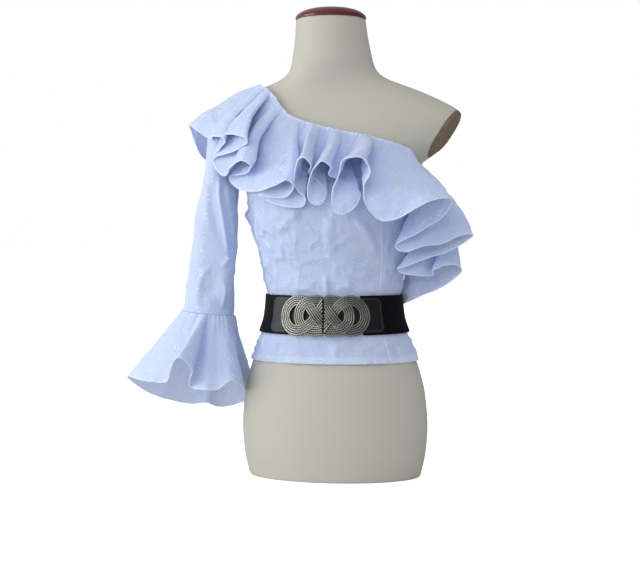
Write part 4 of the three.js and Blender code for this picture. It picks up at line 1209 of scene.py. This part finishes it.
def tab_stitches(side, word):
    """A row of stitches inside the tab's edge, each a small flattened capsule."""
    half = (BELT_HIGH - BELT_LOW) / 2 - TAB_MARGIN - STITCH_INSET
    radius, end = TAB_CORNER - STITCH_INSET, TAB_END - STITCH_INSET
    upper = end - radius - STITCH_START + math.pi / 2 * radius + half - radius
    round_ = np.linspace(0, 2 * math.pi, 7)[:-1]
    stitches = []
    for k in range(int(2 * upper / STITCH_PITCH)):
        line = []
        for place in np.linspace(k * STITCH_PITCH, k * STITCH_PITCH + STITCH_LONG, 4):
            lower = place > upper
            x, y = stitch_line(2 * upper - place if lower else place, half, radius, end)
            line.append((x, -y if lower else y))
        line = np.array(line)
        size = np.array([0.25, 1, 1, 0.25])[:, None]
        flat = line[:, None, :] + (STITCH_THICK * size * np.cos(round_))[..., None] * beside(line)[:, None, :]
        high = TAB_SEAT + TAB_WALL - 0.35 + 0.3 * size * np.sin(round_) + 0.25 * size
        stitches.append(on_belt(side * flat[..., 0], flat[..., 1], high))
    piece = joined_tubes(f"belt_tab_stitches_{word}", stitches)
    smooth(piece, 80)
    finish_piece(piece, THREAD, "leather")


# ---- The buckle ----

# Middle lines of the two bands in one half, in millimetres round from the split and up from
# the belt's middle; over is how far a band is raised where it crosses another. Each line runs
# past the split, and its cords are cut off there.
OUTER_BAND = table("arc rise over", [
    (-9, -30, 2.3), (-3.5, -22, 2.4), (1.5, -15, 2.3), (6.8, -7.4, 1.3), (12, 0, 0), (17.2, 7.4, 0),
    (23, 14.6, 0.3), (30, 20.8, 1.0), (39.5, 25.2, 1.5), (50, 24.2, 1.2), (59, 18.2, 0.6),
    (64.8, 9.6, 0), (66.6, 0, 0), (64.8, -9.6, 0), (59, -18.2, 0), (50, -24.2, 0), (39.5, -25.2, 0),
    (30, -21, 0.2), (23, -15, 1.0), (17.2, -7.6, 2.2), (12, 0, 2.6), (6.8, 7.4, 1.3), (1.5, 15, 0),
    (-3.5, 22, 0), (-9, 30, 0),
])
INNER_BAND = table("arc rise over", [
    (-14, 18, 2.0), (-6, 20.8, 2.1), (1.5, 23.4, 2.1), (6.5, 24.8, 1.4), (14, 25.4, 0.2),
    (24.4, 23.6, 0), (33.3, 18.4, 0), (39.4, 10.1, 0), (41.4, 0, 0.2), (39.4, -10.1, 0.8),
    (33.3, -18.4, 1.6), (24.4, -23.6, 1.6), (14, -25.4, 0.9), (6.5, -24.8, 0), (1.5, -23.4, 0),
    (-6, -20.8, 0), (-14, -18, 0),
])
STRANDS, STRAND_PITCH, STRAND_RADIUS = 5, 3.5, 1.45
STRAND_SIDES, STRAND_LAY, STRAND_SWING = 10, 6.0, 0.16
BED_WIDTH, BED_THICK = 17.6, 0.9
SPLIT_GAP = 1.4      # from the middle of the buckle to where a half's cords are cut off


def open_curve(points, count):
    """Evenly spaced points on a smooth open curve through a few points."""
    ends = np.concatenate([[2 * points[0] - points[1]], points, [2 * points[-1] - points[-2]]])
    place = np.linspace(1, len(points) - 1e-6, 600)
    line = closed_curve(ends, place)
    length = run_of(line)
    even = np.linspace(0, length[-1], count)
    return np.stack([np.interp(even, length, line[:, n]) for n in range(line.shape[1])], -1), even


def cut_at_split(arcs):
    """The rows that lie wholly in this half of the buckle."""
    inside = np.nonzero(arcs > SPLIT_GAP)[0]
    return slice(inside[0], inside[-1] + 1)


def rope(side, line, length, offset, hand):
    """One twisted cord of the buckle beside a band's middle line, and how high its points lie."""
    aside = beside(line[:, :2])
    centre = line[:, :2] + aside * offset
    kept = cut_at_split(centre[:, 0])
    line, length, aside, centre = line[kept], length[kept], aside[kept], centre[kept]
    angle = np.linspace(0, 2 * math.pi, STRAND_SIDES + 1)[:-1]
    twist = hand * 2 * math.pi * length / STRAND_LAY
    swing = 1 + STRAND_SWING * np.cos(2 * (angle[None, :] - twist[:, None]))
    radius = STRAND_RADIUS * swing
    flat = centre[:, None, :] + aside[:, None, :] * (radius * np.cos(angle))[..., None]
    out = KNOT_SEAT + 1.8 + line[:, 2:3] + radius * np.sin(angle)
    # Crown is highest on the top of the cord and where its twist bulges. The silver paints it bright there
    # and paints the sides dark, as tarnish and painted shade.
    crown = np.broadcast_to(np.sin(angle), radius.shape) * (0.74 + 3.4 * (swing - 1))
    return on_belt(side * flat[..., 0], side * flat[..., 1], out), crown


def bed(side, line):
    """The strip that a band's cords lie on, with a crown of nothing, so that it is painted near black as
    tarnish and painted shade between the cords.
    """
    corners = np.array([(-1, 0), (1, 0), (1, 1), (-1, 1)])
    steps = beside(line[:, :2])[:, None, :] * BED_WIDTH / 2 * corners[None, :, :1]
    flat = line[:, None, :2] + steps
    kept = cut_at_split(flat[..., 0].min(1))
    line, flat = line[kept], flat[kept]
    out = KNOT_SEAT + 0.5 + line[:, 2:3] + BED_THICK * corners[:, 1]
    points = on_belt(side * flat[..., 0], side * flat[..., 1], out)
    # A crown of nothing paints the strip near black, as tarnish and painted shade.
    return points, np.zeros(points.shape[:2])


def buckle_half(side, word):
    """Two bands of twisted cords that cross each other, on their beds."""
    made = []
    for band, count in ((OUTER_BAND, 330), (INNER_BAND, 220)):
        line, length = open_curve(np.stack([band["arc"], band["rise"], band["over"]], -1), count)
        made.append(bed(side, line))
        for n in range(STRANDS):
            offset = (n - (STRANDS - 1) / 2) * STRAND_PITCH
            made.append(rope(side, line, length, offset, 1 if n % 2 else -1))
    piece = joined_tubes(f"buckle_knot_{word}", [points for points, _ in made])
    mark_points(piece, "crown", np.concatenate([crown.ravel() for _, crown in made]))
    smooth(piece, 60)
    finish_piece(piece, SILVER, "buckle_metal", f"buckle_{word}")


# ---- The studio ----

CAMERA_AZIMUTH, CAMERA_DISTANCE, CAMERA_HEIGHT = math.radians(10), 2.38, 0.4
CAMERA_YAW, CAMERA_PITCH = math.radians(0.573), math.radians(1.78)
LIGHT = (1.0, 0.99, 0.97)


def camera():
    """A standing view of the front, from a little to the wearer's left."""
    place = (CAMERA_DISTANCE * math.sin(CAMERA_AZIMUTH), -CAMERA_DISTANCE * math.cos(CAMERA_AZIMUTH),
             CAMERA_HEIGHT)
    turned = (math.pi / 2 - CAMERA_PITCH, 0, CAMERA_AZIMUTH + CAMERA_YAW)
    bpy.ops.object.camera_add(location=place, rotation=turned)
    made = bpy.context.object
    made.data.lens, made.data.sensor_width = 78.75, 36
    bpy.context.scene.camera = made


def pale_floor():
    bpy.ops.mesh.primitive_circle_add(vertices=96, radius=60, fill_type="NGON", location=(0, 0, 0))
    floor = bpy.context.object
    floor.name = "floor"
    material, tree, shader = new_material(
        "pale_floor", Base_Color=(0.8, 0.8, 0.8, 1), Roughness=1.0, Specular_IOR_Level=0.0,
        Emission_Strength=0.62)
    seen = node(tree, "ShaderNodeLightPath").outputs["Is Camera Ray"]
    tree.links.new(colour_mix(tree, seen, (0.0, 0.0, 0.0), (1.0, 1.0, 1.0)), shader.inputs["Emission Color"])
    floor.data.materials.append(material)
    floor.visible_glossy = False


def sun(name, azimuth, height, power, softness, colour):
    bpy.ops.object.light_add(type="SUN")
    lamp = bpy.context.object
    lamp.name = name
    lamp.data.energy, lamp.data.angle, lamp.data.color = power, math.radians(softness), colour
    a, h = math.radians(azimuth), math.radians(height)
    towards = Vector((math.sin(a) * math.cos(h), -math.cos(a) * math.cos(h), math.sin(h)))
    lamp.rotation_euler = towards.to_track_quat("Z", "Y").to_euler()
    lamp.visible_glossy = False


def panel(name, place, size, power):
    """A square lamp that faces the middle of the blouse."""
    bpy.ops.object.light_add(type="AREA", location=place)
    lamp = bpy.context.object
    lamp.name = name
    lamp.data.size, lamp.data.energy, lamp.data.color = size, power, LIGHT
    lamp.rotation_euler = (Vector(place) - Vector((0, 0, 0.4))).to_track_quat("Z", "Y").to_euler()


def pale_room():
    """Light from all round, a little stronger from the wearer's right. Shiny pieces see a darker
    room, so that black stays black, and the camera sees white."""
    world = bpy.data.worlds.new("pale_room")
    bpy.context.scene.world = world
    world.use_nodes = True
    tree = world.node_tree
    left = apart(tree, node(tree, "ShaderNodeTexCoord").outputs["Generated"])[0]
    side = math_node(tree, "MULTIPLY_ADD", left, -0.5, 0.5, clamp=True)
    rays = node(tree, "ShaderNodeLightPath").outputs
    room = colour_mix(tree, side, (0.56, 0.57, 0.60), (0.61, 0.62, 0.65))
    mirrored = colour_mix(tree, side, (0.08, 0.08, 0.09), (0.50, 0.51, 0.54))
    room = colour_mix(tree, rays["Is Glossy Ray"], room, mirrored)
    room = colour_mix(tree, rays["Is Camera Ray"], room, (1.0, 1.0, 1.0))
    tree.links.new(room, tree.nodes["Background"].inputs["Color"])


def studio():
    camera()
    pale_floor()
    sun("front_light", azimuth=-12, height=32, power=0.80, softness=50, colour=LIGHT)
    sun("back_light", azimuth=200, height=40, power=0.35, softness=60, colour=(0.95, 0.97, 1.0))
    panel("side_light", (-2.5, -1.35, 0.95), size=1.7, power=28)
    panel("edge_light", (-2.1, -0.25, 0.45), size=0.7, power=3.5)
    pale_room()
    bpy.context.scene.view_settings.view_transform = "Standard"


# ---- Assembly ----

studio()
dress_form()
neck_cap()
bodice()
frill("neck_flounce_front", "frill_front", 0, FRILL_JOIN,
      across=760, down=60)
frill("neck_flounce_back", "frill_back", FRILL_JOIN, len(FRILL["turn"]),
      across=230, down=48)
sleeve()
bell()
belt_band()
for side, word in SIDES:
    belt_tab(side, word)
    buckle_half(side, word)
